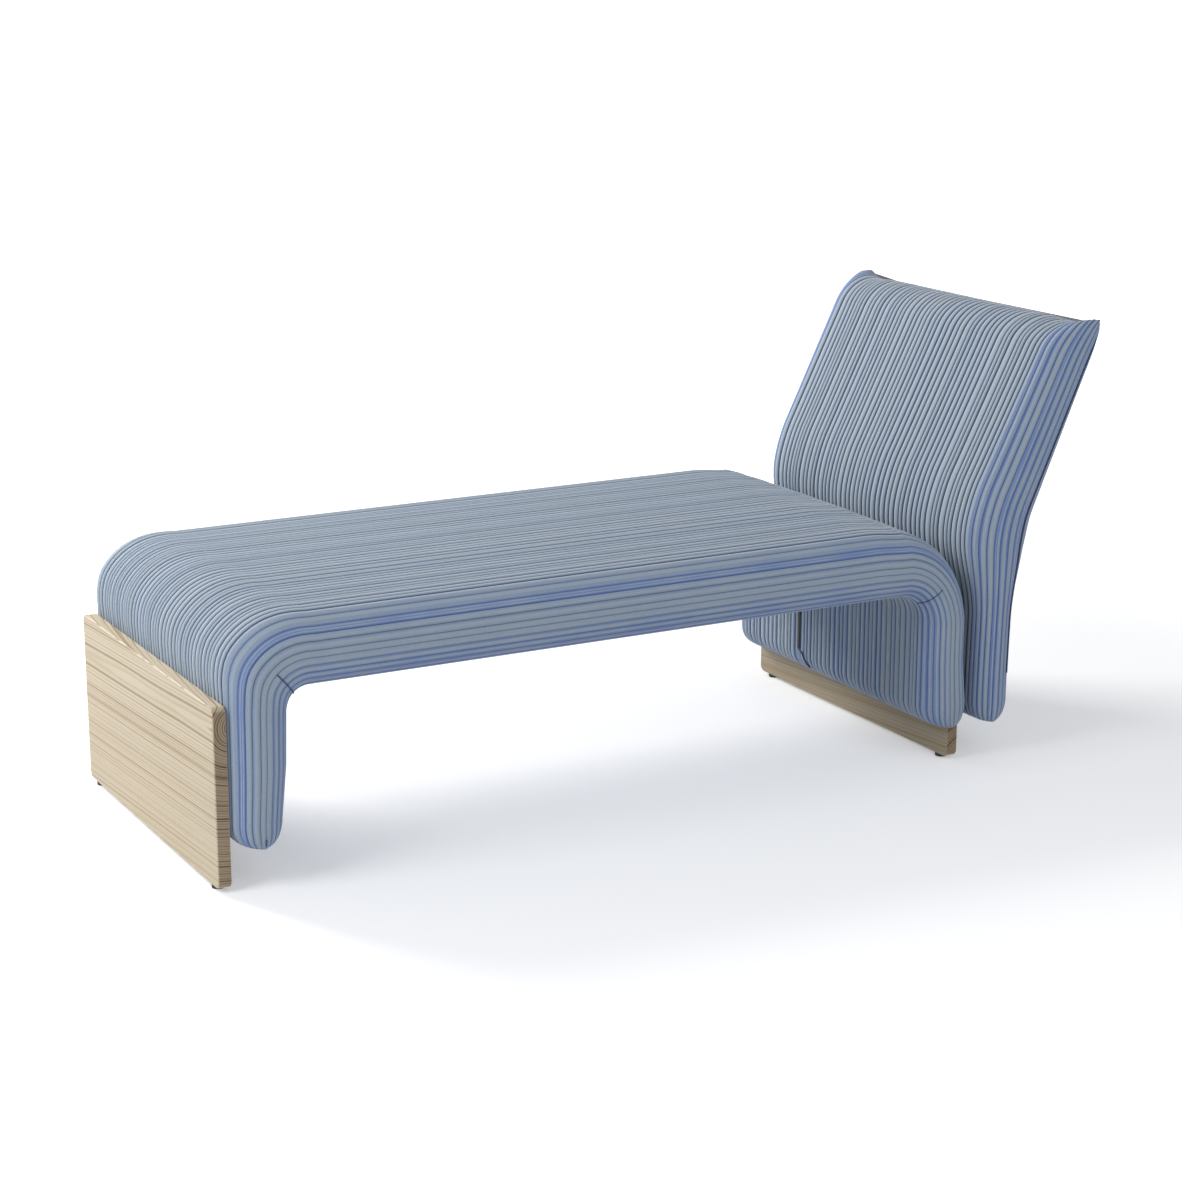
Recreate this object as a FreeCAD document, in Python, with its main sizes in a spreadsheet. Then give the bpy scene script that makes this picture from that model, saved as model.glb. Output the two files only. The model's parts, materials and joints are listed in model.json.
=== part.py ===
import FreeCAD, Part
import math
import os

import Sketcher
from FreeCAD import Placement, Rotation, Vector

# An upholstered chaise longue: a padded arch on a timber end panel and a timber plinth, with a padded
# back hung behind it. Millimetres, +X from foot to head, +Y across, +Z up, the floor at Z = 0. Pieces are
# drawn from the outer face of the foot panel, and moved to the middle of the length at the end.

doc = FreeCAD.newDocument("chaise_longue")
sheet = doc.addObject("Spreadsheet::Sheet", "Sizes")

SIZES = [
    # Timber boards
    ("board_wide", 615, "width of the foot panel and of the plinth"),
    ("board_thick", 22, "thickness of both boards"),
    ("board_corner", 12, "radius of the boards' corners"),
    ("board_ease", 1.5, "bevel that eases the boards' long edges"),
    ("panel_top", 295, "top of the foot panel above the floor"),
    ("plinth_top", 190, "top of the plinth, inside the head leg"),
    # Adjustable glides
    ("glide_gap", 6, "height of the boards above the floor"),
    ("glide_radius", 10, "radius of a glide's pad"),
    ("glide_inset", 32, "end of a board to the middle of its glide"),
    ("stem_radius", 3, "radius of a glide's threaded stem"),
    ("stem_top", 30, "top of a glide's stem above the floor"),
    ("stem_slack", 0.05, "running clearance round a stem"),
    # Seat cushion
    ("seat_wide", 656, "width of the seat"),
    ("seat_thick", 116, "thickness of the seat along its edge"),
    ("seat_crown", 4, "rise of the seat's top in the middle of its width"),
    ("under_crown", 1, "swell of the underside in the middle of its width"),
    ("side_deep", 36, "depth of the rounded sides"),
    ("underside", 307, "underside of the seat above the floor"),
    ("head_inner", 1302, "outer face of the foot panel to the inner face of the head leg"),
    ("foot_leg_thick", 101, "thickness of the foot leg under its bend"),
    ("foot_leg_waist", 98, "thickness of the foot leg half way down"),
    ("foot_leg_low", 89, "thickness of the foot leg above its tip"),
    ("head_leg_thick", 80, "thickness of the head leg under its bend"),
    ("head_leg_low", 88, "thickness of the head leg above its tip"),
    ("bend_foot", 38, "inner radius of the bend at the foot end"),
    ("bend_head", 50, "inner radius of the bend at the head end"),
    ("foot_puff", 13, "swell of the foot bend above the panel"),
    ("head_slope", 72, "length over which the seat falls towards the head bend"),
    ("head_fall", 6, "how far it falls there"),
    ("head_slack", 10, "how much thinner the head bend is than the seat and leg round it"),
    ("leg_clear", 63, "lowest point of the legs above the floor"),
    ("tip_long", 41, "length of a leg's rounded tip"),
    # Covers and the layers inside them
    ("cover_thick", 2.5, "thickness of the ribbed cover"),
    ("soft_gap", 0.3, "gap between soft layers"),
    ("zip_wide", 6, "width of a closed zip"),
    ("zip_thick", 1.6, "thickness of a closed zip"),
    ("zip_side", 95, "middle of the seat's zip from the middle of the width"),
    ("zip_foot_end", 235, "end of the seat's zip on the foot leg, above the floor"),
    ("zip_head_end", 112, "end of the seat's zip on the head leg, above the floor"),
    ("slider_long", 16, "length of a zip's slider"),
    # Steel frames
    ("rail_side", 262, "middle of the width to a side rail"),
    ("rail_deep", 31, "inner surface of the seat to the middle of its rails"),
    ("rail_wide", 25, "width of the seat's square rails"),
    ("cross_wide", 20, "width of the cross tubes and of the back's side tubes"),
    ("tube_wall", 2, "wall of the tubes"),
    ("rail_foot", 130, "lower ends of the rails above the floor"),
    ("bar_thick", 5, "thickness of the flat bars"),
    ("bar_high", 40, "height of the flat bars"),
    ("panel_bar_low", 155, "height of the lower bar behind the foot panel"),
    ("panel_bar_high", 240, "height of the upper bar behind the foot panel"),
    ("plinth_bar", 155, "height of the bar in front of the plinth"),
    ("hang_bar", 228, "height of the bars that carry the back"),
    ("hang_pitch", 30, "distance between the two rows of the back's bolts"),
    ("bolt_side", 210, "middle of the width to the bolts"),
    ("boss_radius", 10, "radius of the bosses that the bolts pass through"),
    ("plug_long", 12, "length of a plug inside its tube"),
    ("plug_head", 3, "thickness of a plug's head"),
    # Webbing
    ("web_wide", 60, "width of a webbing strap"),
    ("web_thick", 2, "thickness of a webbing strap"),
    ("web_slack", 0.1, "slack of a strap round its rail"),
    ("web_hook", 16, "how far a strap reaches down the side of its rail"),
    ("web_pitch", 104, "distance from strap to strap along the seat"),
    # Fasteners
    ("bolt_radius", 4, "radius of the bolts"),
    ("bolt_head_high", 6, "height of a bolt's head and of a welded nut"),
    ("bolt_room", 0.2, "clearance round a bolt"),
    ("bolt_short", 2, "how far a bolt stops short of the end of its thread"),
    ("nut_wide", 13, "width of a bolt's head and of a welded nut across their flats"),
    ("insert_wide", 12, "width of a threaded insert across its flats"),
    ("insert_long", 14, "length of a threaded insert"),
    ("stem_insert_wide", 9, "width of a threaded insert for a glide's stem"),
    # Back cushion
    ("back_set", 18, "back of the head leg to the front of the back cushion"),
    ("back_low_thick", 72, "thickness of the back cushion's lower part"),
    ("back_knee_thick", 128, "thickness of the back cushion at its knee"),
    ("back_top_thick", 108, "thickness of the back cushion under its rounded top"),
    ("back_knee", 422, "height of the knee above the floor"),
    ("back_swell_from", 250, "height where the back cushion starts to swell"),
    ("back_swell_to", 415, "height where it is fully swollen"),
    ("back_bend", 227, "radius of the knee"),
    ("back_lean", 24.8, "lean of the upper part, in degrees"),
    ("back_slope", 297, "knee to the rounded top, along the slope"),
    ("top_long", 74, "length of the rounded top"),
    ("top_back", 22, "how far the rounded top leans back from the slope"),
    ("back_low_wide", 668, "width of the back cushion's lower part"),
    ("back_knee_wide", 684, "width of the back cushion at its knee"),
    ("back_slope_wide", 690, "width of the back cushion under its rounded top"),
    ("ear_wide", 708, "width across the ears at the top corners"),
    ("back_crown", 5, "swell of the back cushion's faces"),
    ("back_frame_end", 275, "knee to the end of the back frame, along the slope"),
]

for row, (alias, size, note) in enumerate(SIZES, start=1):
    sheet.set(f"A{row}", note)
    sheet.set(f"B{row}", str(size))
    sheet.setAlias(f"B{row}", alias)
doc.recompute()


def size(expression):
    """The value of an expression of the sheet's sizes."""
    return float(sheet.evalExpression(expression))


S = {alias: size(f"Sizes.{alias}") for alias, _, _ in SIZES}

PARTS = []


def keep(part, label):
    """Names a finished sub-part and lists it for the hand-over."""
    part.Label = label
    PARTS.append(part)
    return part


# Sketches and solids that several sub-parts share


def origin_plane(body, role):
    return next(plane for plane in body.Origin.OriginFeatures if plane.Role == role)


def new_sketch(body, name, role, offset="0"):
    sketch = body.newObject("Sketcher::SketchObject", name)
    sketch.AttachmentSupport = [(origin_plane(body, role), "")]
    sketch.MapMode = "FlatFace"
    sketch.setExpression("AttachmentOffset.Base.z", offset)
    return sketch


def bind(sketch, kind, where, expression):
    index = sketch.addConstraint(Sketcher.Constraint(kind, *where, size(expression)))
    sketch.setExpression(f"Constraints[{index}]", expression)


def draw_loop(sketch, corners, arcs):
    """Draws a closed loop. corners are pairs of expressions, arcs maps the edge that starts at a corner
    to its radius and to 1 or -1, for a bow to the right or to the left of its chord."""
    spots = [Vector(size(across), size(up), 0) for across, up in corners]
    count = len(corners)
    for start in range(count):
        first = spots[start]
        last = spots[(start + 1) % count]
        if start not in arcs:
            sketch.addGeometry(Part.LineSegment(first, last))
            continue
        radius, side = arcs[start]
        chord = last - first
        rise = math.sqrt(max(0.0, size(radius) ** 2 - chord.Length ** 2 / 4))
        centre = (first + last) * 0.5 + Vector(-chord.y, chord.x, 0).normalize() * rise * side
        angles = [math.atan2(spot.y - centre.y, spot.x - centre.x) for spot in (first, last)]
        if side < 0:
            angles.reverse()
        circle = Part.Circle(centre, Vector(0, 0, 1), size(radius))
        sketch.addGeometry(Part.ArcOfCircle(circle, *angles))
    for start in range(count):
        after = (start + 1) % count
        end_point = 1 if start in arcs and arcs[start][1] < 0 else 2
        start_point = 2 if after in arcs and arcs[after][1] < 0 else 1
        sketch.addConstraint(Sketcher.Constraint("Coincident", start, end_point, after, start_point))
    for start, (across, up) in enumerate(corners):
        point = 2 if start in arcs and arcs[start][1] < 0 else 1
        bind(sketch, "DistanceX", (-1, 1, start, point), across)
        bind(sketch, "DistanceY", (-1, 1, start, point), up)
    for start, (radius, _) in arcs.items():
        bind(sketch, "Radius", (start,), radius)


def draw_circles(sketch, radius, centres):
    for across, up in centres:
        spot = Vector(size(across), size(up), 0)
        circle = sketch.addGeometry(Part.Circle(spot, Vector(0, 0, 1), size(radius)))
        bind(sketch, "DistanceX", (-1, 1, circle, 3), across)
        bind(sketch, "DistanceY", (-1, 1, circle, 3), up)
        bind(sketch, "Radius", (circle,), radius)


def pocket(body, sketch, depth, backwards=False):
    """Cuts a sketch into its body and makes sure that material went."""
    before = body.Shape.Volume
    cut = body.newObject("PartDesign::Pocket", sketch.Name + "_cut")
    cut.Profile = sketch
    cut.setExpression("Length", depth)
    cut.Reversed = backwards
    doc.recompute()
    if body.Shape.Volume > before - 1:
        raise RuntimeError(f"{cut.Name} cuts nothing")
    return cut


def turned(name, profile):
    """A body turned about its own Z axis from a profile of radius and height expressions."""
    body = doc.addObject("PartDesign::Body", name)
    sketch = new_sketch(body, name + "_profile", "XZ_Plane")
    draw_loop(sketch, profile, {})
    turn = body.newObject("PartDesign::Revolution", name + "_turn")
    turn.Profile = sketch
    turn.ReferenceAxis = (sketch, ["V_Axis"])
    turn.Angle = 360
    doc.recompute()
    return body


def group(label, pattern, places):
    """Copies of one pattern shape as separate solids of one sub-part."""
    copies = []
    for place in places:
        copy = pattern.Shape.copy()
        copy.Placement = place.multiply(copy.Placement)
        copies.append(copy)
    feature = doc.addObject("Part::Feature", label)
    feature.Shape = Part.makeCompound(copies)
    return keep(feature, label)


ALONG_X = Rotation(Vector(0, 1, 0), 90)
AGAINST_X = Rotation(Vector(0, 1, 0), -90)


def hexagon(wide, across="0", up="0"):
    """Corners of a hexagon of a width across its flats, about a place."""
    reach = f"{wide} / 2 / cos(30 deg)"
    return [(f"{across} + {reach} * cos({60 * step} deg)", f"{up} + {reach} * sin({60 * step} deg)") for step in range(6)]


def rectangle(low, high):
    """Corners of a rectangle from its lowest to its highest corner."""
    return [low, (high[0], low[1]), high, (low[0], high[1])]


def pad_along(body, name, role, offset, outlines, long, backwards=False):
    """Pads closed loops from a plane square to an axis."""
    sketch = new_sketch(body, name, role, offset)
    for corners in outlines:
        start = sketch.GeometryCount
        draw_polygon(sketch, corners, start)
    pad = body.newObject("PartDesign::Pad", name + "_pad")
    pad.Profile = sketch
    pad.setExpression("Length", long)
    pad.Reversed = backwards
    doc.recompute()
    return pad


def draw_polygon(sketch, corners, start):
    """Draws one more closed loop of straight edges in a sketch that may hold others."""
    spots = [Vector(size(across), size(up), 0) for across, up in corners]
    count = len(spots)
    for index in range(count):
        sketch.addGeometry(Part.LineSegment(spots[index], spots[(index + 1) % count]))
    for index, (across, up) in enumerate(corners):
        after = start + (index + 1) % count
        sketch.addConstraint(Sketcher.Constraint("Coincident", start + index, 2, after, 1))
        bind(sketch, "DistanceX", (-1, 1, start + index, 1), across)
        bind(sketch, "DistanceY", (-1, 1, start + index, 1), up)


def pad_circles(body, name, offset, radius, places, long, backwards=False, role="YZ_Plane"):
    """Pads round bosses, along the length unless another plane is named."""
    sketch = new_sketch(body, name, role, offset)
    draw_circles(sketch, radius, places)
    pad = body.newObject("PartDesign::Pad", name + "_pad")
    pad.Profile = sketch
    pad.setExpression("Length", long)
    pad.Reversed = backwards
    doc.recompute()
    return pad


def solid_of(outline, low, wide):
    """A plain solid of an outline seen from the side, to cut or to keep foam with."""
    corners, arcs = outline
    spots = [Vector(size(x), size(low), size(z)) for x, z in corners]
    edges = []
    for start, first in enumerate(spots):
        last = spots[(start + 1) % len(spots)]
        if start not in arcs:
            edges.append(Part.makeLine(first, last))
            continue
        radius, side = size(arcs[start][0]), arcs[start][1]
        chord = last - first
        rise = math.sqrt(radius ** 2 - chord.Length ** 2 / 4)
        left = Vector(-chord.z, 0, chord.x).normalize()
        middle = (first + last) * 0.5 + left * (rise - radius) * side
        edges.append(Part.Arc(first, middle, last).toShape())
    face = Part.Face(Part.Wire(edges))
    return face.extrude(Vector(0, size(wide), 0))


# The arch that the seat follows, as an outline that can be drawn at any distance from its rails

FOOT_FACE = "(Sizes.board_thick + Sizes.soft_gap)"
FOOT_INNER = f"({FOOT_FACE} + Sizes.foot_leg_thick)"
RAIL_FOOT = f"({FOOT_INNER} - Sizes.rail_deep)"
RAIL_HEAD = "(Sizes.head_inner + Sizes.rail_deep)"
RAIL_TOP = "(Sizes.underside + Sizes.rail_deep)"
RAIL_HALF = "(Sizes.rail_wide / 2)"
FOOT_TURN = "(Sizes.bend_foot + Sizes.rail_deep)"
HEAD_TURN = "(Sizes.bend_head + Sizes.rail_deep)"


def arch_band(near, far, foot_end="Sizes.rail_foot", head_end="Sizes.rail_foot"):
    """Outline of a band along the rails, between two distances outwards from their middle."""
    corners = [
        (f"{RAIL_FOOT} - {far}", foot_end),
        (f"{RAIL_FOOT} - {far}", f"{RAIL_TOP} - {FOOT_TURN}"),
        (f"{RAIL_FOOT} + {FOOT_TURN}", f"{RAIL_TOP} + {far}"),
        (f"{RAIL_HEAD} - {HEAD_TURN}", f"{RAIL_TOP} + {far}"),
        (f"{RAIL_HEAD} + {far}", f"{RAIL_TOP} - {HEAD_TURN}"),
        (f"{RAIL_HEAD} + {far}", head_end),
        (f"{RAIL_HEAD} + {near}", head_end),
        (f"{RAIL_HEAD} + {near}", f"{RAIL_TOP} - {HEAD_TURN}"),
        (f"{RAIL_HEAD} - {HEAD_TURN}", f"{RAIL_TOP} + {near}"),
        (f"{RAIL_FOOT} + {FOOT_TURN}", f"{RAIL_TOP} + {near}"),
        (f"{RAIL_FOOT} - {near}", f"{RAIL_TOP} - {FOOT_TURN}"),
        (f"{RAIL_FOOT} - {near}", foot_end),
    ]
    arcs = {
        1: (f"({FOOT_TURN} + {far})", -1),
        3: (f"({HEAD_TURN} + {far})", -1),
        7: (f"({HEAD_TURN} + {near})", 1),
        9: (f"({FOOT_TURN} + {near})", 1),
    }
    return corners, arcs


BACK_X = "(Sizes.head_inner + Sizes.head_leg_thick + Sizes.back_set + Sizes.back_low_thick / 2)"
LEAN_SIN = "sin(Sizes.back_lean * 1 deg)"
LEAN_COS = "cos(Sizes.back_lean * 1 deg)"
KNEE_REACH = "(Sizes.back_bend * tan(Sizes.back_lean * 0.5 deg))"
SIDE_HALF = "(Sizes.cross_wide / 2)"


def slope_point(along, forward):
    """A place on the back's slope, by distance from the knee and distance towards the sitter."""
    return (
        f"{BACK_X} + {along} * {LEAN_SIN} - {forward} * {LEAN_COS}",
        f"Sizes.back_knee + {along} * {LEAN_COS} + {forward} * {LEAN_SIN}",
    )


def back_band(rear, front, low="Sizes.rail_foot", end="Sizes.back_frame_end"):
    """Outline of a band up the back's side tubes, between two distances towards the sitter."""
    bend = f"Sizes.back_knee - {KNEE_REACH}"
    corners = [
        (f"{BACK_X} - {front}", low),
        (f"{BACK_X} - {front}", bend),
        slope_point(KNEE_REACH, front),
        slope_point(end, front),
        slope_point(end, rear),
        slope_point(KNEE_REACH, rear),
        (f"{BACK_X} - {rear}", bend),
        (f"{BACK_X} - {rear}", low),
    ]
    return corners, {1: (f"(Sizes.back_bend + {front})", -1), 5: (f"(Sizes.back_bend + {rear})", 1)}


def pad_across(body, name, outline, low, wide):
    """Pads an outline seen from the side, from a place across the width and over a width."""
    sketch = new_sketch(body, name, "XZ_Plane", f"-({low}) - ({wide})")
    draw_loop(sketch, *outline)
    pad = body.newObject("PartDesign::Pad", name + "_pad")
    pad.Profile = sketch
    pad.setExpression("Length", wide)
    doc.recompute()
    return pad


def cut_across(body, name, outline, low, wide):
    sketch = new_sketch(body, name, "XZ_Plane", f"-({low}) - ({wide})")
    draw_loop(sketch, *outline)
    return pocket(body, sketch, wide, backwards=True)


# Places that several pieces share, as expressions

PANEL_BACK = "Sizes.board_thick"
PANEL_BAR_X = f"({RAIL_FOOT} - {RAIL_HALF} - Sizes.bar_thick)"
PLINTH_FACE = f"({RAIL_HEAD} + {RAIL_HALF} + Sizes.bar_thick)"
HANG_BAR_X = f"({BACK_X} - {SIDE_HALF} - Sizes.bar_thick)"
FACE_X = {"foot": "0", "head": PLINTH_FACE}
GLIDE_SIDE = "(Sizes.board_wide / 2 - Sizes.glide_inset)"
SIDES = ("-Sizes.bolt_side", "Sizes.bolt_side")
PANEL_SPOTS = [(y, z) for z in ("Sizes.panel_bar_low", "Sizes.panel_bar_high") for y in SIDES]
PLINTH_SPOTS = [(y, "Sizes.plinth_bar") for y in SIDES]
HANG_SPOTS = [(y, f"Sizes.hang_bar {way} Sizes.hang_pitch / 2") for way in "-+" for y in SIDES]
BOLT_SPOTS = {"foot": PANEL_SPOTS, "head": PLINTH_SPOTS}
HOLE = "(Sizes.bolt_radius + Sizes.bolt_room)"


def at_spots(x, spots, rotation):
    return [Placement(Vector(size(x), size(y), size(z)), rotation) for y, z in spots]


# Timber boards


def board(label, end, top):
    """A board that stands across the chaise, with bores for its inserts and for its glides."""
    body = doc.addObject("PartDesign::Body", label)
    half = "Sizes.board_wide / 2"
    corner = "Sizes.board_corner"
    low = "Sizes.glide_gap"
    sketch = new_sketch(body, label + "_outline", "YZ_Plane")
    corners = [
        (f"{corner} - {half}", low),
        (f"{half} - {corner}", low),
        (half, f"{low} + {corner}"),
        (half, f"{top} - {corner}"),
        (f"{half} - {corner}", top),
        (f"{corner} - {half}", top),
        (f"-{half}", f"{top} - {corner}"),
        (f"-{half}", f"{low} + {corner}"),
    ]
    draw_loop(sketch, corners, {edge: (corner, 1) for edge in (1, 3, 5, 7)})
    pad = body.newObject("PartDesign::Pad", label + "_pad")
    pad.Profile = sketch
    pad.setExpression("Length", "Sizes.board_thick")
    doc.recompute()
    rims = [
        f"Edge{number}"
        for number, edge in enumerate(pad.Shape.Edges, start=1)
        if edge.BoundBox.XLength < 0.001
    ]
    ease = body.newObject("PartDesign::Chamfer", label + "_ease")
    ease.Base = (pad, rims)
    ease.setExpression("Size", "Sizes.board_ease")
    doc.recompute()
    inserts = new_sketch(body, label + "_insert_bores", "YZ_Plane", "Sizes.board_thick" if end == "foot" else "0")
    for spot in BOLT_SPOTS[end]:
        draw_polygon(inserts, hexagon("Sizes.insert_wide", *spot), inserts.GeometryCount)
    pocket(body, inserts, "Sizes.insert_long", backwards=end == "head")
    glides = new_sketch(body, label + "_glide_bores", "XY_Plane", low)
    middle = "Sizes.board_thick / 2"
    for side in (f"-{GLIDE_SIDE}", GLIDE_SIDE):
        draw_polygon(glides, hexagon("Sizes.stem_insert_wide", middle, side), glides.GeometryCount)
    pocket(body, glides, "Sizes.stem_top + 2 - Sizes.glide_gap", backwards=True)
    body.Placement.Base = Vector(size(FACE_X[end]), 0, 0)
    return keep(body, label)


def insert(name, wide, bore):
    """A threaded insert, drawn with a plain bore, from 0 up."""
    body = doc.addObject("PartDesign::Body", name)
    pad_along(body, name + "_outline", "XY_Plane", "0", [hexagon(wide)], "Sizes.insert_long")
    hole = new_sketch(body, name + "_bore", "XY_Plane")
    draw_circles(hole, bore, [("0", "0")])
    pocket(body, hole, "Sizes.insert_long", backwards=True)
    return body


foot_panel = board("foot_panel", "foot", "Sizes.panel_top")
plinth_board = board("plinth_board", "head", "Sizes.plinth_top")
bolt_insert = insert("bolt_insert", "Sizes.insert_wide", "Sizes.bolt_radius + Sizes.stem_slack")
stem_insert = insert("stem_insert", "Sizes.stem_insert_wide", "Sizes.stem_radius + Sizes.stem_slack")
# A hexagon drawn in the YZ plane has its corners along Y, and so have these
FACE_UP = Rotation(Vector(0, 0, 1), Vector(-1, 0, 0))
IN_PANEL = Rotation(Vector(0, 1, 0), Vector(0, 0, 1), Vector(-1, 0, 0), "ZXY")
IN_PLINTH = Rotation(Vector(0, 1, 0), Vector(0, 0, 1), Vector(1, 0, 0), "ZXY")
group("panel_inserts", bolt_insert, at_spots(PANEL_BACK, PANEL_SPOTS, IN_PANEL))
group("plinth_inserts", bolt_insert, at_spots(PLINTH_FACE, PLINTH_SPOTS, IN_PLINTH))


# Glides: a stem that screws into its board, with a square head set in a round pad

PAD_TOP = "(Sizes.glide_gap - Sizes.soft_gap)"
HEAD_HALF = "(Sizes.stem_radius + 1.5)"
HEAD_LOW = "(Sizes.glide_gap / 3)"
HEAD_ROOM = f"({HEAD_HALF} + Sizes.stem_slack)"

GLIDES = {
    f"{end}_{side}": (size(FACE_X[end]) + S["board_thick"] / 2, sign * size(GLIDE_SIDE))
    for end in ("foot", "head")
    for side, sign in (("near", -1), ("far", 1))
}
for name, (x, y) in GLIDES.items():
    pad = doc.addObject("PartDesign::Body", f"glide_pad_{name}")
    pad_circles(pad, f"pad_{name}", "0", "Sizes.glide_radius", [("0", "0")], PAD_TOP, role="XY_Plane")
    seat = new_sketch(pad, f"pad_{name}_seat", "XY_Plane", PAD_TOP)
    draw_loop(seat, rectangle((f"-{HEAD_ROOM}", f"-{HEAD_ROOM}"), (HEAD_ROOM, HEAD_ROOM)), {})
    pocket(pad, seat, f"{PAD_TOP} - {HEAD_LOW} + Sizes.stem_slack")
    pad.Placement.Base = Vector(x, y, 0)
    keep(pad, f"glide_pad_{name}")
    stem = doc.addObject("PartDesign::Body", f"glide_stem_{name}")
    square = rectangle((f"-{HEAD_HALF}", f"-{HEAD_HALF}"), (HEAD_HALF, HEAD_HALF))
    pad_along(stem, f"stem_{name}_head", "XY_Plane", HEAD_LOW, [square], f"{PAD_TOP} - {HEAD_LOW}")
    pad_circles(stem, f"stem_{name}", PAD_TOP, "Sizes.stem_radius", [("0", "0")], f"Sizes.stem_top - {PAD_TOP}", role="XY_Plane")
    stem.Placement.Base = Vector(x, y, 0)
    keep(stem, f"glide_stem_{name}")
group("glide_inserts", stem_insert, [Placement(Vector(x, y, S["glide_gap"]), Rotation()) for x, y in GLIDES.values()])


# Seat frame: two bent rails, cross tubes and flat bars with bosses and nuts, welded together

frame = doc.addObject("PartDesign::Body", "seat_frame")
NEAR_RAIL = f"-Sizes.rail_side - {RAIL_HALF}"
FAR_RAIL = f"Sizes.rail_side - {RAIL_HALF}"
pad_across(frame, "near_rail", arch_band(f"-{RAIL_HALF}", RAIL_HALF), NEAR_RAIL, "Sizes.rail_wide")
CROSS_FROM = f"({RAIL_FOOT} + {FOOT_TURN})"
CROSS_TO = f"({RAIL_HEAD} - {HEAD_TURN})"
CROSS_AT = [f"({CROSS_FROM} + ({CROSS_TO} - {CROSS_FROM}) * {share} / 3)" for share in range(4)]
cross_outlines = [
    rectangle((f"{x} - {SIDE_HALF}", f"{RAIL_TOP} - {SIDE_HALF}"), (f"{x} + {SIDE_HALF}", f"{RAIL_TOP} + {SIDE_HALF}"))
    for x in CROSS_AT
]
pad_along(frame, "cross_tubes", "XZ_Plane", "-Sizes.rail_side", cross_outlines, "2 * Sizes.rail_side")
pad_across(frame, "far_rail", arch_band(f"-{RAIL_HALF}", RAIL_HALF), FAR_RAIL, "Sizes.rail_wide")


def bar(middle, high):
    return rectangle(("-Sizes.rail_side", f"{middle} - {high} / 2"), ("Sizes.rail_side", f"{middle} + {high} / 2"))


PANEL_BARS = [bar(z, "Sizes.bar_high") for z in ("Sizes.panel_bar_low", "Sizes.panel_bar_high")]
HANG_HIGH = "(Sizes.bar_high + Sizes.hang_pitch)"
HEAD_BARS = [bar("Sizes.plinth_bar", "Sizes.bar_high"), bar("Sizes.hang_bar", HANG_HIGH)]
pad_along(frame, "panel_bars", "YZ_Plane", PANEL_BAR_X, PANEL_BARS, "Sizes.bar_thick")
pad_along(frame, "head_bars", "YZ_Plane", f"{PLINTH_FACE} - Sizes.bar_thick", HEAD_BARS, "Sizes.bar_thick")
PANEL_BOSS = f"({PANEL_BAR_X} - {PANEL_BACK})"
pad_circles(frame, "panel_bosses", PANEL_BAR_X, "Sizes.boss_radius", PANEL_SPOTS, PANEL_BOSS, backwards=True)
NUTS_X = f"({PLINTH_FACE} - Sizes.bar_thick)"
nut_outlines = [hexagon("Sizes.nut_wide", *spot) for spot in HANG_SPOTS]
pad_along(frame, "back_nuts", "YZ_Plane", NUTS_X, nut_outlines, "Sizes.bolt_head_high", backwards=True)
BORE_HALF = f"({RAIL_HALF} - Sizes.tube_wall)"
BORE_WIDE = "(Sizes.rail_wide - 2 * Sizes.tube_wall)"
BORE = arch_band(f"-{BORE_HALF}", BORE_HALF)
cut_across(frame, "near_bore", BORE, f"{NEAR_RAIL} + Sizes.tube_wall", BORE_WIDE)
cut_across(frame, "far_bore", BORE, f"{FAR_RAIL} + Sizes.tube_wall", BORE_WIDE)


def bolt_holes(body, name, x, spots, depth):
    sketch = new_sketch(body, name, "YZ_Plane", x)
    draw_circles(sketch, HOLE, spots)
    return pocket(body, sketch, depth)


bolt_holes(frame, "panel_holes", f"{PANEL_BAR_X} + Sizes.bar_thick", PANEL_SPOTS, f"{PANEL_BOSS} + Sizes.bar_thick")
bolt_holes(frame, "plinth_holes", PLINTH_FACE, PLINTH_SPOTS, "Sizes.bar_thick")
bolt_holes(frame, "back_holes", PLINTH_FACE, HANG_SPOTS, "Sizes.bar_thick + Sizes.bolt_head_high")
keep(frame, "seat_frame")


def tube_plug(name, wide):
    """A plastic plug for a square tube's lower end, its head below and its shank above 0."""
    body = doc.addObject("PartDesign::Body", name)
    half = f"{wide} / 2"
    shank = f"({wide} / 2 - Sizes.tube_wall - Sizes.stem_slack)"
    head = rectangle((f"-{half}", f"-{half}"), (half, half))
    stub = rectangle((f"-{shank}", f"-{shank}"), (shank, shank))
    pad_along(body, name + "_head", "XY_Plane", "-Sizes.plug_head", [head], "Sizes.plug_head")
    pad_along(body, name + "_shank", "XY_Plane", "0", [stub], "Sizes.plug_long")
    return body


rail_plug = tube_plug("rail_plug", "Sizes.rail_wide")
RAIL_SIDES = ("-Sizes.rail_side", "Sizes.rail_side")
group(
    "seat_frame_plugs",
    rail_plug,
    [Placement(Vector(size(x), size(y), S["rail_foot"]), Rotation()) for x in (RAIL_FOOT, RAIL_HEAD) for y in RAIL_SIDES],
)


# Webbing: straps across the rails, folded down their sides


def strap(name, half):
    """One strap across the rails, its ends folded down their outer sides, the rails' middle at 0."""
    inner = f"({half} + Sizes.web_slack)"
    outer = f"({inner} + Sizes.web_thick)"
    side = "Sizes.rail_side"
    body = doc.addObject("PartDesign::Body", name)
    corners = [
        (f"-{side} - {inner}", inner),
        (f"{side} + {inner}", inner),
        (f"{side} + {inner}", f"{inner} - Sizes.web_hook"),
        (f"{side} + {outer}", f"{inner} - Sizes.web_hook"),
        (f"{side} + {outer}", outer),
        (f"-{side} - {outer}", outer),
        (f"-{side} - {outer}", f"{inner} - Sizes.web_hook"),
        (f"-{side} - {inner}", f"{inner} - Sizes.web_hook"),
    ]
    pad_along(body, name + "_outline", "YZ_Plane", "-Sizes.web_wide / 2", [corners], "Sizes.web_wide")
    return body


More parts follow.
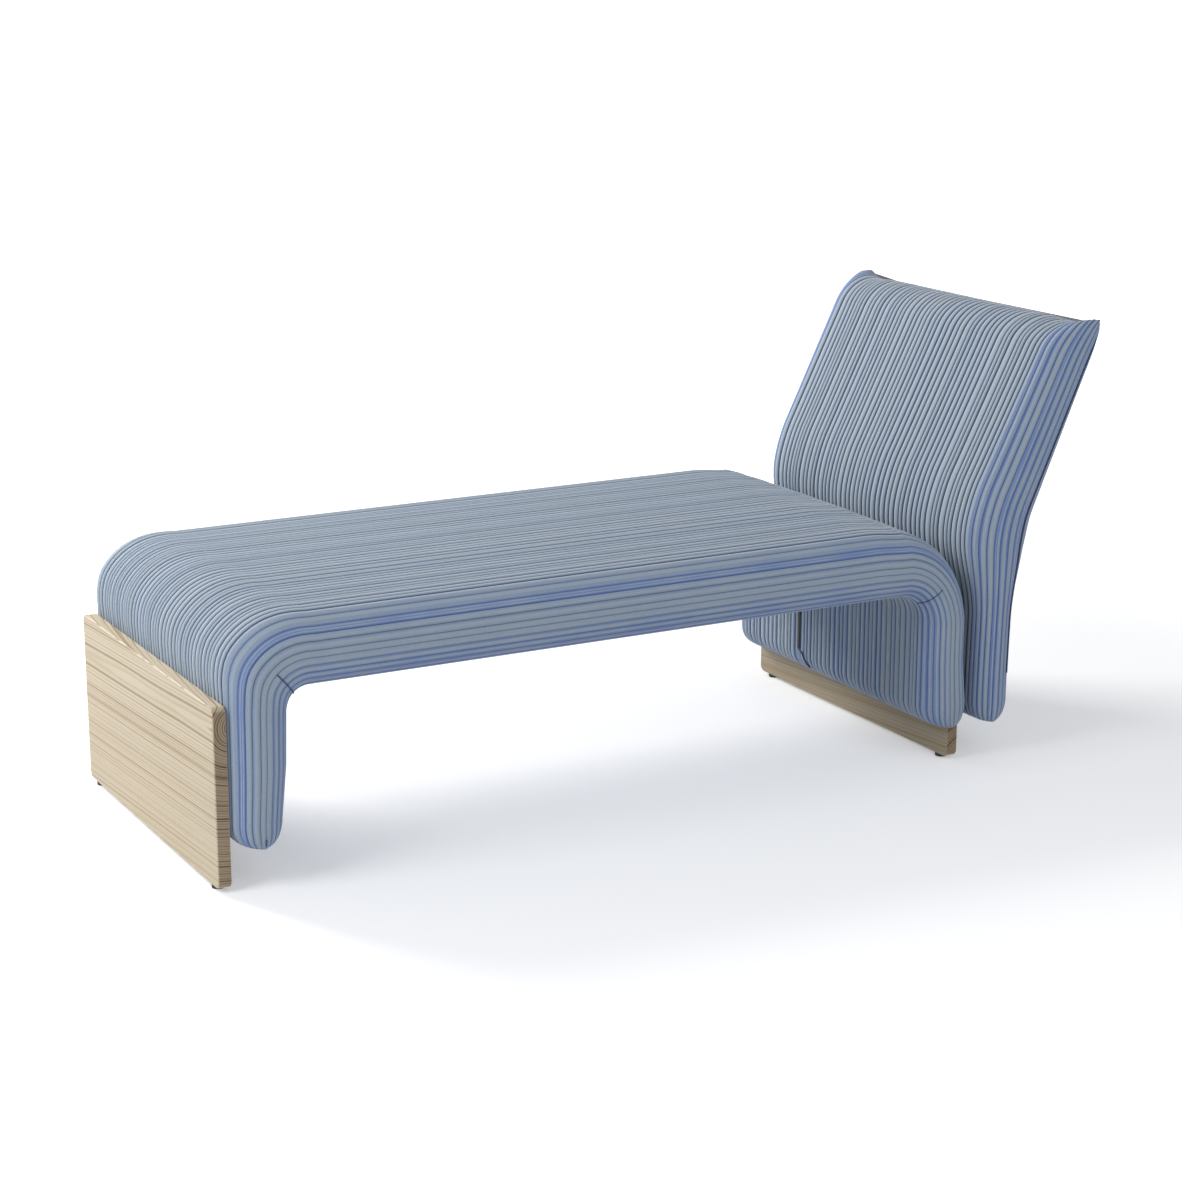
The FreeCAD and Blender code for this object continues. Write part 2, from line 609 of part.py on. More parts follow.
seat_strap = strap("seat_strap", RAIL_HALF)
STRAP_FROM = size(CROSS_FROM)
STRAP_TO = size(CROSS_TO)
STRAPS = int((STRAP_TO - STRAP_FROM - S["web_wide"]) // S["web_pitch"]) + 1
STRAP_START = (STRAP_FROM + STRAP_TO - (STRAPS - 1) * S["web_pitch"]) / 2
group(
    "seat_webbing",
    seat_strap,
    [Placement(Vector(STRAP_START + S["web_pitch"] * step, 0, size(RAIL_TOP)), Rotation()) for step in range(STRAPS)],
)


# Back frame: two bent side tubes, cross tubes and a flat bar with bosses, welded together

rear_frame = doc.addObject("PartDesign::Body", "back_frame")
NEAR_SIDE = f"-Sizes.rail_side - {SIDE_HALF}"
FAR_SIDE = f"Sizes.rail_side - {SIDE_HALF}"
SIDE_TUBE = back_band(f"-{SIDE_HALF}", SIDE_HALF)
pad_across(rear_frame, "near_tube", SIDE_TUBE, NEAR_SIDE, "Sizes.cross_wide")
pad_along(rear_frame, "hang_bar", "YZ_Plane", HANG_BAR_X, [bar("Sizes.hang_bar", HANG_HIGH)], "Sizes.bar_thick")
KNEE_LOW = f"(Sizes.back_knee - {KNEE_REACH} - Sizes.cross_wide)"
TOP_FROM = "(Sizes.back_frame_end - Sizes.cross_wide)"
knee_tube = rectangle(
    (f"{BACK_X} - {SIDE_HALF}", KNEE_LOW), (f"{BACK_X} + {SIDE_HALF}", f"{KNEE_LOW} + Sizes.cross_wide")
)
top_tube = [
    slope_point(TOP_FROM, SIDE_HALF),
    slope_point("Sizes.back_frame_end", SIDE_HALF),
    slope_point("Sizes.back_frame_end", f"-{SIDE_HALF}"),
    slope_point(TOP_FROM, f"-{SIDE_HALF}"),
]
pad_along(rear_frame, "back_cross", "XZ_Plane", "-Sizes.rail_side", [knee_tube, top_tube], "2 * Sizes.rail_side")
pad_across(rear_frame, "far_tube", SIDE_TUBE, FAR_SIDE, "Sizes.cross_wide")
HANG_BOSS = f"({HANG_BAR_X} - {PLINTH_FACE})"
pad_circles(rear_frame, "hang_bosses", HANG_BAR_X, "Sizes.boss_radius", HANG_SPOTS, HANG_BOSS, backwards=True)
SIDE_BORE_HALF = f"({SIDE_HALF} - Sizes.tube_wall)"
SIDE_BORE = back_band(f"-{SIDE_BORE_HALF}", SIDE_BORE_HALF, end=f"({TOP_FROM} - Sizes.tube_wall)")
SIDE_BORE_WIDE = "(Sizes.cross_wide - 2 * Sizes.tube_wall)"
cut_across(rear_frame, "near_side_bore", SIDE_BORE, f"{NEAR_SIDE} + Sizes.tube_wall", SIDE_BORE_WIDE)
cut_across(rear_frame, "far_side_bore", SIDE_BORE, f"{FAR_SIDE} + Sizes.tube_wall", SIDE_BORE_WIDE)
bolt_holes(rear_frame, "hang_holes", f"{HANG_BAR_X} + Sizes.bar_thick", HANG_SPOTS, f"{HANG_BOSS} + Sizes.bar_thick")
keep(rear_frame, "back_frame")

side_plug = tube_plug("side_plug", "Sizes.cross_wide")
BACK_FEET = [Placement(Vector(size(BACK_X), size(y), S["rail_foot"]), Rotation()) for y in RAIL_SIDES]
group("back_frame_plugs", side_plug, BACK_FEET)

back_strap = strap("back_strap", SIDE_HALF)
SLOPE_STRAPS = 2
LOW_STRAP = (size(KNEE_LOW) + size(f"Sizes.hang_bar + {HANG_HIGH} / 2")) / 2
strap_places = [Placement(Vector(size(BACK_X), 0, LOW_STRAP), Rotation(Vector(0, 1, 0), -90))]
for step in range(SLOPE_STRAPS):
    share = (step + 1) / (SLOPE_STRAPS + 1)
    along = size(f"{KNEE_REACH} + ({TOP_FROM} - {KNEE_REACH}) * {share}")
    x, z = (size(place) for place in slope_point(str(along), "0"))
    strap_places.append(Placement(Vector(x, 0, z), Rotation(Vector(0, 1, 0), S["back_lean"] - 90)))
group("back_webbing", back_strap, strap_places)


# Bolts


def bolt(name, length):
    """A hexagon head bolt along Z, its head above 0 and its shank below."""
    body = doc.addObject("PartDesign::Body", name)
    head = [hexagon("Sizes.nut_wide")]
    pad_along(body, name + "_head", "XY_Plane", "0", head, "Sizes.bolt_head_high")
    shank = [("0", "0")]
    pad_circles(body, name + "_shank", "0", "Sizes.bolt_radius", shank, length, backwards=True, role="XY_Plane")
    return body


GRIP = "(Sizes.bar_thick + Sizes.insert_long - Sizes.bolt_short)"
panel_bolt = bolt("panel_bolt", f"({GRIP} + {PANEL_BOSS})")
plinth_bolt = bolt("plinth_bolt", GRIP)
NUT_GRIP = "(2 * Sizes.bar_thick + Sizes.bolt_head_high - Sizes.bolt_short)"
hang_bolt = bolt("hang_bolt", f"({NUT_GRIP} + {HANG_BOSS})")
TOWARDS_X = Rotation(Vector(0, 1, 0), 90)
AGAINST_X = Rotation(Vector(0, 1, 0), -90)
group("panel_bolts", panel_bolt, at_spots(f"{PANEL_BAR_X} + Sizes.bar_thick", PANEL_SPOTS, TOWARDS_X))
group("plinth_bolts", plinth_bolt, at_spots(f"{PLINTH_FACE} - Sizes.bar_thick", PLINTH_SPOTS, AGAINST_X))
group("back_bolts", hang_bolt, at_spots(f"{HANG_BAR_X} + Sizes.bar_thick", HANG_SPOTS, TOWARDS_X))


# The seat's zip runs along the inside of the arch, and its slider rides on it

zip_body = doc.addObject("PartDesign::Body", "seat_zip")
ZIP_HIGH = "(-Sizes.rail_deep - Sizes.under_crown - 2 * Sizes.soft_gap)"
ZIP_LOW = f"({ZIP_HIGH} - Sizes.zip_thick)"
zip_line = arch_band(ZIP_LOW, ZIP_HIGH, "Sizes.zip_foot_end", "Sizes.zip_head_end")
pad_across(zip_body, "seat_zip_line", zip_line, "Sizes.zip_side - Sizes.zip_wide / 2", "Sizes.zip_wide")
keep(zip_body, "seat_zip")

slider = doc.addObject("PartDesign::Body", "seat_zip_slider")
SLIDER_HALF = "(Sizes.zip_wide / 2 + Sizes.soft_gap)"
SLIDER_SIDE = f"({SLIDER_HALF} + Sizes.zip_thick / 2)"
SLIDER_LOW = "(-Sizes.soft_gap - Sizes.zip_thick / 2)"
slider_corners = [
    (f"-{SLIDER_SIDE}", SLIDER_LOW),
    (SLIDER_SIDE, SLIDER_LOW),
    (SLIDER_SIDE, "Sizes.zip_thick"),
    (SLIDER_HALF, "Sizes.zip_thick"),
    (SLIDER_HALF, "-Sizes.soft_gap"),
    (f"-{SLIDER_HALF}", "-Sizes.soft_gap"),
    (f"-{SLIDER_HALF}", "Sizes.zip_thick"),
    (f"-{SLIDER_SIDE}", "Sizes.zip_thick"),
]
pad_along(slider, "slider_outline", "YZ_Plane", "0", [slider_corners], "Sizes.slider_long")
slider.Placement.Base = Vector(size(CROSS_FROM), S["zip_side"], size(f"{RAIL_TOP} + {ZIP_LOW}"))
keep(slider, "seat_zip_slider")


# Cushions: lofts through sections, each a loop of two faces and four quarters of its rounded sides

LEG_TIPS = (78, 50, 22)


def smooth(share):
    share = min(1.0, max(0.0, share))
    return share * share * (3 - 2 * share)


class Section:
    """A section square to a cushion's run: where its inner face lies, the way outwards, and its sizes."""

    def __init__(self, x, z, turn, low, high, flat, deep, crown=0.0, under=0.0):
        self.spot = Vector(x, 0, z)
        self.out = Vector(math.cos(math.radians(turn)), 0, math.sin(math.radians(turn)))
        self.low = low
        self.high = high
        self.flat = flat
        self.deep = deep
        self.crown = crown
        self.under = under

    def at(self, y, depth):
        return self.spot + self.out * depth + Vector(0, y, 0)

    def quarter(self, depth, sign, first):
        """A quarter of a rounded side, from a face or, if not first, to it."""
        middle = (self.low + self.high) / 2
        half = (depth - middle) * math.sqrt(0.5)
        points = [
            self.at(sign * self.flat, depth),
            self.at(sign * (self.flat + self.deep * math.sqrt(0.5)), middle + half),
            self.at(sign * (self.flat + self.deep), middle),
        ]
        return Part.Arc(*(points if first else points[::-1])).toShape()

    def face(self, depth, bulge, sign):
        """An inner or outer face, from one side to the other."""
        start = self.at(-sign * self.flat, depth)
        end = self.at(sign * self.flat, depth)
        if abs(bulge) < 0.01:
            return Part.makeLine(start, end)
        return Part.Arc(start, self.at(0, depth + bulge), end).toShape()

    def wire(self):
        return Part.Wire([
            self.face(self.high, self.crown, 1),
            self.quarter(self.high, 1, True),
            self.quarter(self.low, 1, False),
            self.face(self.low, -self.under, -1),
            self.quarter(self.low, -1, True),
            self.quarter(self.high, -1, False),
        ])


def loft(sections):
    solid = Part.makeLoft([section.wire() for section in sections], True, True)
    if solid.Volume < 0:
        solid.reverse()
    return solid


def tip_sections(x_low, x_in, x_out, turn, flat, inset):
    """A leg's rounded tip, from its lowest section up. x_low is where it touches lowest."""
    sections = []
    for angle in LEG_TIPS:
        share = math.cos(math.radians(angle))
        reach = S["tip_long"] - inset
        z = S["leg_clear"] + inset + reach * (1 - math.sin(math.radians(angle)))
        inner = x_low + (x_in - x_low) * share * (1 - inset / abs(x_in - x_low))
        outer = x_low + (x_out - x_low) * share * (1 - inset / abs(x_out - x_low))
        deep = (S["side_deep"] - inset) * (2 + share) / 3
        sections.append(Section(inner, z, turn, 0, abs(outer - inner), flat, deep))
    return sections


def bend_sections(centre_x, radius, thicknesses, flat, inset, held):
    """Sections round a bend, from a dictionary of turns and thicknesses."""
    sections = []
    for turn, thick in thicknesses.items():
        lift = math.sin(math.radians(turn))
        x = centre_x + radius * math.cos(math.radians(turn))
        z = S["underside"] - radius + radius * lift
        rise = smooth(1 - abs(turn - 90) / (90 - held))
        section = Section(x, z, turn, inset, thick - inset, flat, S["side_deep"] - inset)
        section.crown = S["seat_crown"] * rise
        section.under = S["under_crown"] * rise
        sections.append(section)
    return sections


def foot_bend():
    """The foot bend is held flat by the panel up to its top and swells above it."""
    radius = S["bend_foot"] + S["foot_leg_thick"]
    held = math.degrees(math.asin((S["panel_top"] - S["underside"] + S["bend_foot"]) / radius))
    thicknesses = {180 - held: radius / math.cos(math.radians(held)) - S["bend_foot"]}
    for turn in (156, 141, 124, 107):
        share = (180 - held - turn) / (90 - held)
        plain = S["seat_thick"] + (S["foot_leg_thick"] - S["seat_thick"]) * smooth(1 - share * 3)
        thicknesses[turn] = plain + S["foot_puff"] * math.sin(math.pi * share) ** 1.3
    thicknesses[90] = S["seat_thick"]
    return thicknesses, held


def head_bend():
    """The head bend is slacker than what it joins."""
    start = S["seat_thick"] - S["head_fall"]
    thicknesses = {90: start}
    for turn in (72, 54, 36, 18):
        share = 1 - turn / 90
        plain = start + (S["head_leg_thick"] - start) * smooth(share)
        thicknesses[turn] = plain - S["head_slack"] * math.sin(math.pi * share ** 0.8)
    return thicknesses


FOOT_LOW_SHARE = 0.58
HEAD_LOW_SHARE = 0.6


def seat_sections(inset):
    """The seat's sections from the foot leg's tip to the head leg's, drawn in by an inset."""
    flat = S["seat_wide"] / 2 - S["side_deep"]
    deep = S["side_deep"] - inset
    face = size(FOOT_FACE)
    foot_centre = size(FOOT_INNER) + S["bend_foot"]
    head_centre = S["head_inner"] - S["bend_head"]
    leg_low = S["leg_clear"] + S["tip_long"]
    foot_top = S["underside"] - S["bend_foot"]
    head_top = S["underside"] - S["bend_head"]
    touch = face + FOOT_LOW_SHARE * S["foot_leg_low"]
    sections = tip_sections(touch, face + S["foot_leg_low"], face, 180, flat, inset)
    foot_levels = ((leg_low, "foot_leg_low"), ((leg_low + foot_top) / 2, "foot_leg_waist"), (foot_top, "foot_leg_thick"))
    for z, alias in foot_levels:
        sections.append(Section(face + S[alias], z, 180, inset, S[alias] - inset, flat, deep))
    thicknesses, held = foot_bend()
    sections += bend_sections(foot_centre, S["bend_foot"], thicknesses, flat, inset, held)
    before = Section(head_centre - S["head_slope"], S["underside"], 90, inset, S["seat_thick"] - inset, flat, deep)
    before.crown = S["seat_crown"]
    before.under = S["under_crown"]
    sections.append(before)
    sections += bend_sections(head_centre, S["bend_head"], head_bend(), flat, inset, 0)
    middle = (leg_low + head_top) / 2
    for z, alias in ((head_top, "head_leg_thick"), (middle, "head_leg_thick"), (leg_low, "head_leg_low")):
        sections.append(Section(S["head_inner"], z, 0, inset, S[alias] - inset, flat, deep))
    touch = S["head_inner"] + HEAD_LOW_SHARE * S["head_leg_low"]
    head_out = S["head_inner"] + S["head_leg_low"]
    return sections + tip_sections(touch, S["head_inner"], head_out, 0, flat, inset)[::-1]


TOP_ANGLES = (22, 50, 78)
BACK_SHARES = (0, 1 / 3, 2 / 3, 1)


def back_section(x, z, lean, thick, wide, inset, crown, shift=0.0, shrink=1.0):
    """A section of the back about its middle line. Outwards is towards the sitter."""
    turn = 180 - lean
    way = Vector(math.cos(math.radians(turn)), 0, math.sin(math.radians(turn)))
    half = (thick / 2 - inset) * shrink
    flat = wide / 2 - S["side_deep"]
    deep = (S["side_deep"] - inset) * (2 + shrink) / 3
    spot = Vector(x, 0, z) - way * (half + shift)
    return Section(spot.x, spot.z, turn, 0, 2 * half, flat, deep, crown, crown / 3)


def back_sections(inset):
    """The back's sections from its lower tip to its rounded top, drawn in by an inset."""
    x = size(BACK_X)
    reach = size(KNEE_REACH)
    low = S["back_low_thick"]
    leg_low = S["leg_clear"] + S["tip_long"]
    flat = S["back_low_wide"] / 2 - S["side_deep"]
    swell_run = S["back_swell_to"] - S["back_swell_from"]

    def thick_at(z):
        return low + (S["back_knee_thick"] - low) * smooth((z - S["back_swell_from"]) / swell_run)

    def wide_at(z):
        return S["back_low_wide"] + (S["back_knee_wide"] - S["back_low_wide"]) * smooth((z - leg_low) / (S["back_knee"] - leg_low))

    sections = tip_sections(x, x + low / 2, x - low / 2, 180, flat, inset)
    bend_from = S["back_knee"] - reach
    for z in (leg_low, S["back_swell_from"], (S["back_swell_from"] + bend_from) / 2):
        crown = S["back_crown"] * smooth((z - leg_low) / (bend_from - leg_low))
        sections.append(back_section(x, z, 0, thick_at(z), wide_at(z), inset, crown))
    centre = x + S["back_bend"]
    for share in BACK_SHARES:
        lean = S["back_lean"] * share
        bend_x = centre - S["back_bend"] * math.cos(math.radians(lean))
        z = bend_from + S["back_bend"] * math.sin(math.radians(lean))
        sections.append(back_section(bend_x, z, lean, thick_at(z), wide_at(z), inset, S["back_crown"]))
    run = S["back_slope"] - reach
    slopes = [(reach + run * share, share) for share in (0.5, 1.0)]
    for along, share in slopes:
        thick = S["back_knee_thick"] + (S["back_top_thick"] - S["back_knee_thick"]) * share
        wide = S["back_knee_wide"] + (S["back_slope_wide"] - S["back_knee_wide"]) * share
        spot_x, z = (size(place) for place in slope_point(str(along), "0"))
        sections.append(back_section(spot_x, z, S["back_lean"], thick, wide, inset, S["back_crown"]))
    for angle in TOP_ANGLES:
        share = math.sin(math.radians(angle))
        shrink = math.cos(math.radians(angle))
        along = S["back_slope"] + (S["top_long"] - inset) * share
        wide = S["back_slope_wide"] + (S["ear_wide"] - S["back_slope_wide"]) * share ** 2
        spot_x, z = (size(place) for place in slope_point(str(along), "0"))
        shift = S["top_back"] * (1 - shrink)
        thick = S["back_top_thick"]
        crown = S["back_crown"] * shrink
        sections.append(back_section(spot_x, z, S["back_lean"], thick, wide, inset, crown, shift, shrink))
    return sections


def rods(radius, x_from, x_to, spots):
    """Cylinders along X at places across and up."""
    long = x_to - x_from
    return [Part.makeCylinder(radius, long, Vector(x_from, size(y), size(z)), Vector(1, 0, 0)) for y, z in spots]


def soft(label, shape):
    feature = doc.addObject("Part::Feature", label)
    feature.Shape = shape
    return keep(feature, label)


FOAM_INSET = S["cover_thick"] + S["soft_gap"]
boss_room = S["boss_radius"] + S["soft_gap"]
panel_rods = rods(boss_room, 0, size(RAIL_FOOT), PANEL_SPOTS)
hang_rods = rods(boss_room, size(RAIL_HEAD), size(BACK_X), HANG_SPOTS)
gap = S["soft_gap"]
slot_wide = S["board_wide"] + 2 * gap
plinth_slot = Part.makeBox(
    S["board_thick"] + 2 * gap,
    slot_wide,
    S["plinth_top"] + gap,
    Vector(size(PLINTH_FACE) - gap, -slot_wide / 2, 0),
)

WEB_ROOM = "(Sizes.web_slack + Sizes.web_thick + 2 * Sizes.soft_gap)"
WELL_SIDE = f"(Sizes.rail_side + {RAIL_HALF} + {WEB_ROOM})"
WELL_IN = f"(-{RAIL_HALF} - 2 * Sizes.soft_gap)"
WELL_OUT = f"({RAIL_HALF} + Sizes.bar_thick + 2 * Sizes.soft_gap)"
WELL_END = "(Sizes.rail_foot - Sizes.plug_head - 2 * Sizes.soft_gap)"
seat_well = solid_of(arch_band(WELL_IN, WELL_OUT, WELL_END, WELL_END), f"-{WELL_SIDE}", f"2 * {WELL_SIDE}")
INSIDE = "(-Sizes.rail_deep - 5)"
FULL = "Sizes.seat_wide"
inner_space = solid_of(arch_band(INSIDE, "-Sizes.soft_gap / 2", WELL_END, WELL_END), f"-{FULL}", f"2 * {FULL}")
CUT_END = f"({WELL_END} - Sizes.soft_gap)"
outer_cut = solid_of(arch_band(INSIDE, "Sizes.soft_gap / 2", CUT_END, CUT_END), f"-{FULL}", f"2 * {FULL}")

seat_outer = loft(seat_sections(0))
seat_inner = loft(seat_sections(S["cover_thick"]))
seat_foam = loft(seat_sections(FOAM_INSET))
soft("seat_cover", seat_outer.cut([seat_inner] + panel_rods + hang_rods + [plinth_slot]))
soft("seat_foam_outer", seat_foam.cut([outer_cut, seat_well] + panel_rods + hang_rods + [plinth_slot]))
soft("seat_foam_inner", seat_foam.common(inner_space).cut(seat_well))

BACK_WELL_REAR = f"(-{SIDE_HALF} - 2 * Sizes.soft_gap)"
BACK_WELL_FRONT = f"({SIDE_HALF} + Sizes.bar_thick + 2 * Sizes.soft_gap)"
back_well = solid_of(
    back_band(BACK_WELL_REAR, BACK_WELL_FRONT, WELL_END, "(Sizes.back_frame_end + 2 * Sizes.soft_gap)"),
    f"-{WELL_SIDE}",
    f"2 * {WELL_SIDE}",
)
BEYOND = "(Sizes.back_slope + 2 * Sizes.top_long)"
back_parting = solid_of(
    back_band("-Sizes.soft_gap / 2", "Sizes.soft_gap / 2", "0", BEYOND), "-Sizes.ear_wide", "2 * Sizes.ear_wide"
)
back_outer = loft(back_sections(0))
back_inner = loft(back_sections(S["cover_thick"]))
back_foam = loft(back_sections(FOAM_INSET)).cut([back_well, back_parting] + hang_rods)
soft("back_cover", back_outer.cut([back_inner] + hang_rods))
front, rear = sorted(back_foam.Solids, key=lambda solid: solid.CenterOfMass.x)
soft("back_foam_front", front)
soft("back_foam_rear", rear)


# Hand-over: every sub-part is moved to the middle of the length, checked and written

back_cover = next(part for part in PARTS if part.Label == "back_cover")
length = back_cover.Shape.optimalBoundingBox().XMax
to_middle = Placement(Vector(-length / 2, 0, 0), Rotation())
for part in PARTS:
    part.Placement = to_middle.multiply(part.Placement)
doc.recompute()
for thing in doc.Objects:
    if "Invalid" in thing.State or "Error" in thing.State:
        raise RuntimeError(f"{thing.Label} is {thing.State}")
os.makedirs("parts", exist_ok=True)
for part in PARTS:
    if part.Shape.isNull() or not part.Shape.isValid():
        raise RuntimeError(f"{part.Label} has no valid shape")
    part.Shape.exportStep(f"parts/{part.Label}.step")
print(f"{len(PARTS)} sub-parts, {length:.1f} mm long")
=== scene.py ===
"""Chaise longue: the ribbed covers, timber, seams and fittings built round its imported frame."""

import json
import math

import bpy
import numpy as np
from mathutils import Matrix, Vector


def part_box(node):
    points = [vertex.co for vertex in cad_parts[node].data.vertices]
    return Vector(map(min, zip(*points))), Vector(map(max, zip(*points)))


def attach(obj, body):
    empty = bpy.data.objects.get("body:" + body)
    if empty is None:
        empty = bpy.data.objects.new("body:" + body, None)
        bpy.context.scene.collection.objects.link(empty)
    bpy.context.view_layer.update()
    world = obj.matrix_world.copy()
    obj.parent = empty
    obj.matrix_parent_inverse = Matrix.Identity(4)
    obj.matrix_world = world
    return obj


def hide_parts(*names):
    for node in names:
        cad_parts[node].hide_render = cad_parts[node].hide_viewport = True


bl_info = {
    "name": "Ribbed Chaise Longue",
    "version": (1, 0, 0),
    "blender": (4, 5, 0),
    "location": "View3D > Sidebar > Chaise",
    "description": "Builds the covers, seams, timber and fittings of a ribbed chaise longue",
    "category": "Add Mesh",
}

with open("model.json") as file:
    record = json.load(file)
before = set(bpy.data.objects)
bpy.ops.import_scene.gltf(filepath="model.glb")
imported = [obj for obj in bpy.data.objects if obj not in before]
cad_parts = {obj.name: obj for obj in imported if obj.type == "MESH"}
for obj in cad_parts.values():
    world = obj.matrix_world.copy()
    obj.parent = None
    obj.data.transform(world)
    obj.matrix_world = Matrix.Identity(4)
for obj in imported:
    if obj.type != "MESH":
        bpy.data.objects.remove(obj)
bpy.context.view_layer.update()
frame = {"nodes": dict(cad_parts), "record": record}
NODES = frame["nodes"]
PANEL_LOW, PANEL_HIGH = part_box("foot_panel")
PLINTH_LOW, PLINTH_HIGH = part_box("plinth_board")
ZIP_LOW, ZIP_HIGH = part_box("seat_zip")
ZIP_Y = (ZIP_LOW[1] + ZIP_HIGH[1]) / 2

# Lengths along X are measured from the foot panel's outer face
PANEL_FACE = PANEL_LOW.x

# Ribs: where across a rib its mesh has a point, and how uneven the ribs' widths and heights are
RIB_STEPS = (0, 0.07, 0.2, 0.36, 0.5, 0.64, 0.8, 0.93)
RIB_WIDTHS = (0.72, 1.28)
RIB_DENTS = (0.6, 1.0)
RIB_ROUNDNESS = 0.55
# Relief, sharpness of the painted shade in the grooves, share of dye and how light the painted groove shade
# stays, by face
OUTER_FACE = (1.0, 1.6, 0.22, 0.0)
INNER_FACE = (0.8, 1.2, 0.8, 0.15)
# Sharpness of the painted groove shade, share of dye and how light the painted groove shade stays on the
# sides, and how dark their threads are
SIDE_LOOK = (1.0, 1.5, 0.33)
THREAD_SHADE = 0.62
# How far a rib's groove is sunk where a board or the back holds the cover flat
HELD_SINK = 0.0023
# Flat channel for the zip's slider: its half width, the width of its edges and its depth
CHANNEL_HALF, CHANNEL_EDGE, CHANNEL_DEEP = 0.0045, 0.005, 0.0007

# Rounded tips of the legs and the back: angles up the tip, fullness, and where its two faces meet
TIP_ANGLES = (86, 80, 72, 63, 54, 44, 33, 21, 9)
TIP_FULLNESS = 0.8
FOOT_TIP_MEETS, HEAD_TIP_MEETS = 0.58, 0.6
# Foot leg: its outer face behind the panel's, and its thickness at the tip, halfway and at the bend
COVER_FACE = 0.0223
FOOT_LEG_LOW, FOOT_LEG_MIDDLE, FOOT_LEG_TOP = 0.089, 0.098, 0.101
FOOT_BEND_SWELL = 0.013
# Head leg: its thickness at the tip and above, the bend's dip and the seat's ease before the bend
HEAD_LEG_LOW, HEAD_LEG_TOP = 0.088, 0.080
HEAD_BEND_DIP = 0.010
HEAD_EASE, HEAD_EASE_DROP = 0.072, 0.006
HEAD_HELD = 0.6
UNDER_CROWN = 0.001

# Back: its crown, its widths going up, and the height where it starts to thicken towards the knee
BACK_CROWN = 0.005
BACK_LOW_WIDE, BACK_KNEE_WIDE, BACK_SLOPE_WIDE, BACK_TOP_WIDE = 0.668, 0.684, 0.690, 0.708
THICKENS_FROM, THICKENS_OVER = 0.250, 0.165
TOP_ANGLES = (6, 13, 20, 27, 35, 43, 51, 59, 66, 73, 79, 84, 87)
# Ears: where they begin across the half width and over how much of it, and the dip beside each
EAR_FROM, EAR_OVER = 0.306, 0.046
DIP_AT, DIP_OVER, DIP_DEEP = 0.285, 0.05, 0.003

# Seams across a side: start and end from its outer face to its inner one, how proud, and radius
FOOT_DART = (97 / 180, 176 / 180, 0.0014, 0.0011)
HEAD_DART = (96 / 180, 176 / 180, 0.0014, 0.0008)
FOOT_DART_TURN, HEAD_DART_TURN = 133, 47
# Seams along a side: place from its outer face to its inner one, how proud, and radius
BACK_SEAM = (128 / 180, 0.0016, 0.0012)
FOOT_SLIT = (97 / 180, 0.0006, 0.0016)
# Sections that they run over: the back's straight parts, and the middle of the foot leg's tip
BACK_SEAM_ROWS, FOOT_SLIT_ROWS = slice(12, -5), slice(4, 7)
# Welt that carries the zip's lower end on: how proud, and radius
WELT_PROUD, WELT_RADIUS = 0.0034, 0.0015

# Weave: how closely its cross threads follow each other, in radians for each metre of run
CROSS_THREADS = 3900.0

# Camera, as solved from the photograph: place, degrees down and round, and focal length
CAMERA_PLACE = (-1.3097, -3.9228, 1.4840)
CAMERA_DOWN, CAMERA_ROUND = 14.82, 28.376
FOCAL_LENGTH, SENSOR_WIDTH = 81.25, 36.0


# Sizes and colours


def length(name, description, value):
    return bpy.props.FloatProperty(
        name=name, description=description, default=value, min=0.0, unit="LENGTH", precision=4
    )


def colour(name, description, value):
    return bpy.props.FloatVectorProperty(
        name=name, description=description, default=value, min=0.0, max=1.0, size=3, subtype="COLOR"
    )


class SeatSizes(bpy.types.PropertyGroup):
    wide: length("Width", "Width of the seat", 0.656)
    thick: length("Thickness", "Thickness of the seat along its edge", 0.116)
    side: length("Side", "Depth of the rounded sides", 0.036)
    underside: length("Underside", "Underside of the seat above the floor", 0.307)
    crown: length("Crown", "Rise of the top in the middle of its width", 0.004)
    head_inner: length("Head leg", "Foot panel's outer face to the inner face of the head leg", 1.302)
    bend_foot: length("Foot bend", "Inner radius of the bend at the foot end", 0.038)
    bend_head: length("Head bend", "Inner radius of the bend at the head end", 0.050)
    clear: length("Clearance", "Lowest point of the legs above the floor", 0.063)
    tip: length("Tip", "Length of a leg's rounded tip", 0.041)


class BackSizes(bpy.types.PropertyGroup):
    middle: length("Place", "Foot panel's outer face to the middle of the lower part", 1.436)
    low_thick: length("Lower part", "Thickness of the lower part", 0.072)
    knee_thick: length("Knee", "Thickness at the knee", 0.128)
    top_thick: length("Top", "Thickness under the rounded top", 0.108)
    knee: length("Knee height", "Height of the knee above the floor", 0.422)
    bend: length("Knee radius", "Radius of the knee", 0.227)
    slope: length("Slope", "Knee to the rounded top along the slope", 0.297)
    top_long: length("Rounded top", "Length of the rounded top", 0.078)
    top_back: length("Top set-back", "How far the rounded top leans back", 0.022)
    lean: bpy.props.FloatProperty(
        name="Lean", description="Lean of the upper part", default=math.radians(24.8), subtype="ANGLE"
    )
    ear: length("Ear", "How far the top corners stand up", 0.013)


class CoverLooks(bpy.types.PropertyGroup):
    rib: length("Rib", "Usual width of one rib", 0.0132)
    proud: length("Crest", "How far a rib's crest stands proud", 0.0030)
    groove: length("Groove", "How deep a groove is sunk", 0.0021)
    crest: colour("Crest colour", "Grey-blue of the ribs", (0.305, 0.365, 0.428))
    streak: colour("Groove colour", "Stronger blue in the grooves", (0.095, 0.175, 0.450))
    # The deep colour is painted shade at the bottom of the grooves
    deep: colour("Deep colour", "Darkest blue at the bottom of the grooves", (0.020, 0.034, 0.085))
    thread: colour("Thread", "Thread of the seams", (0.030, 0.045, 0.110))


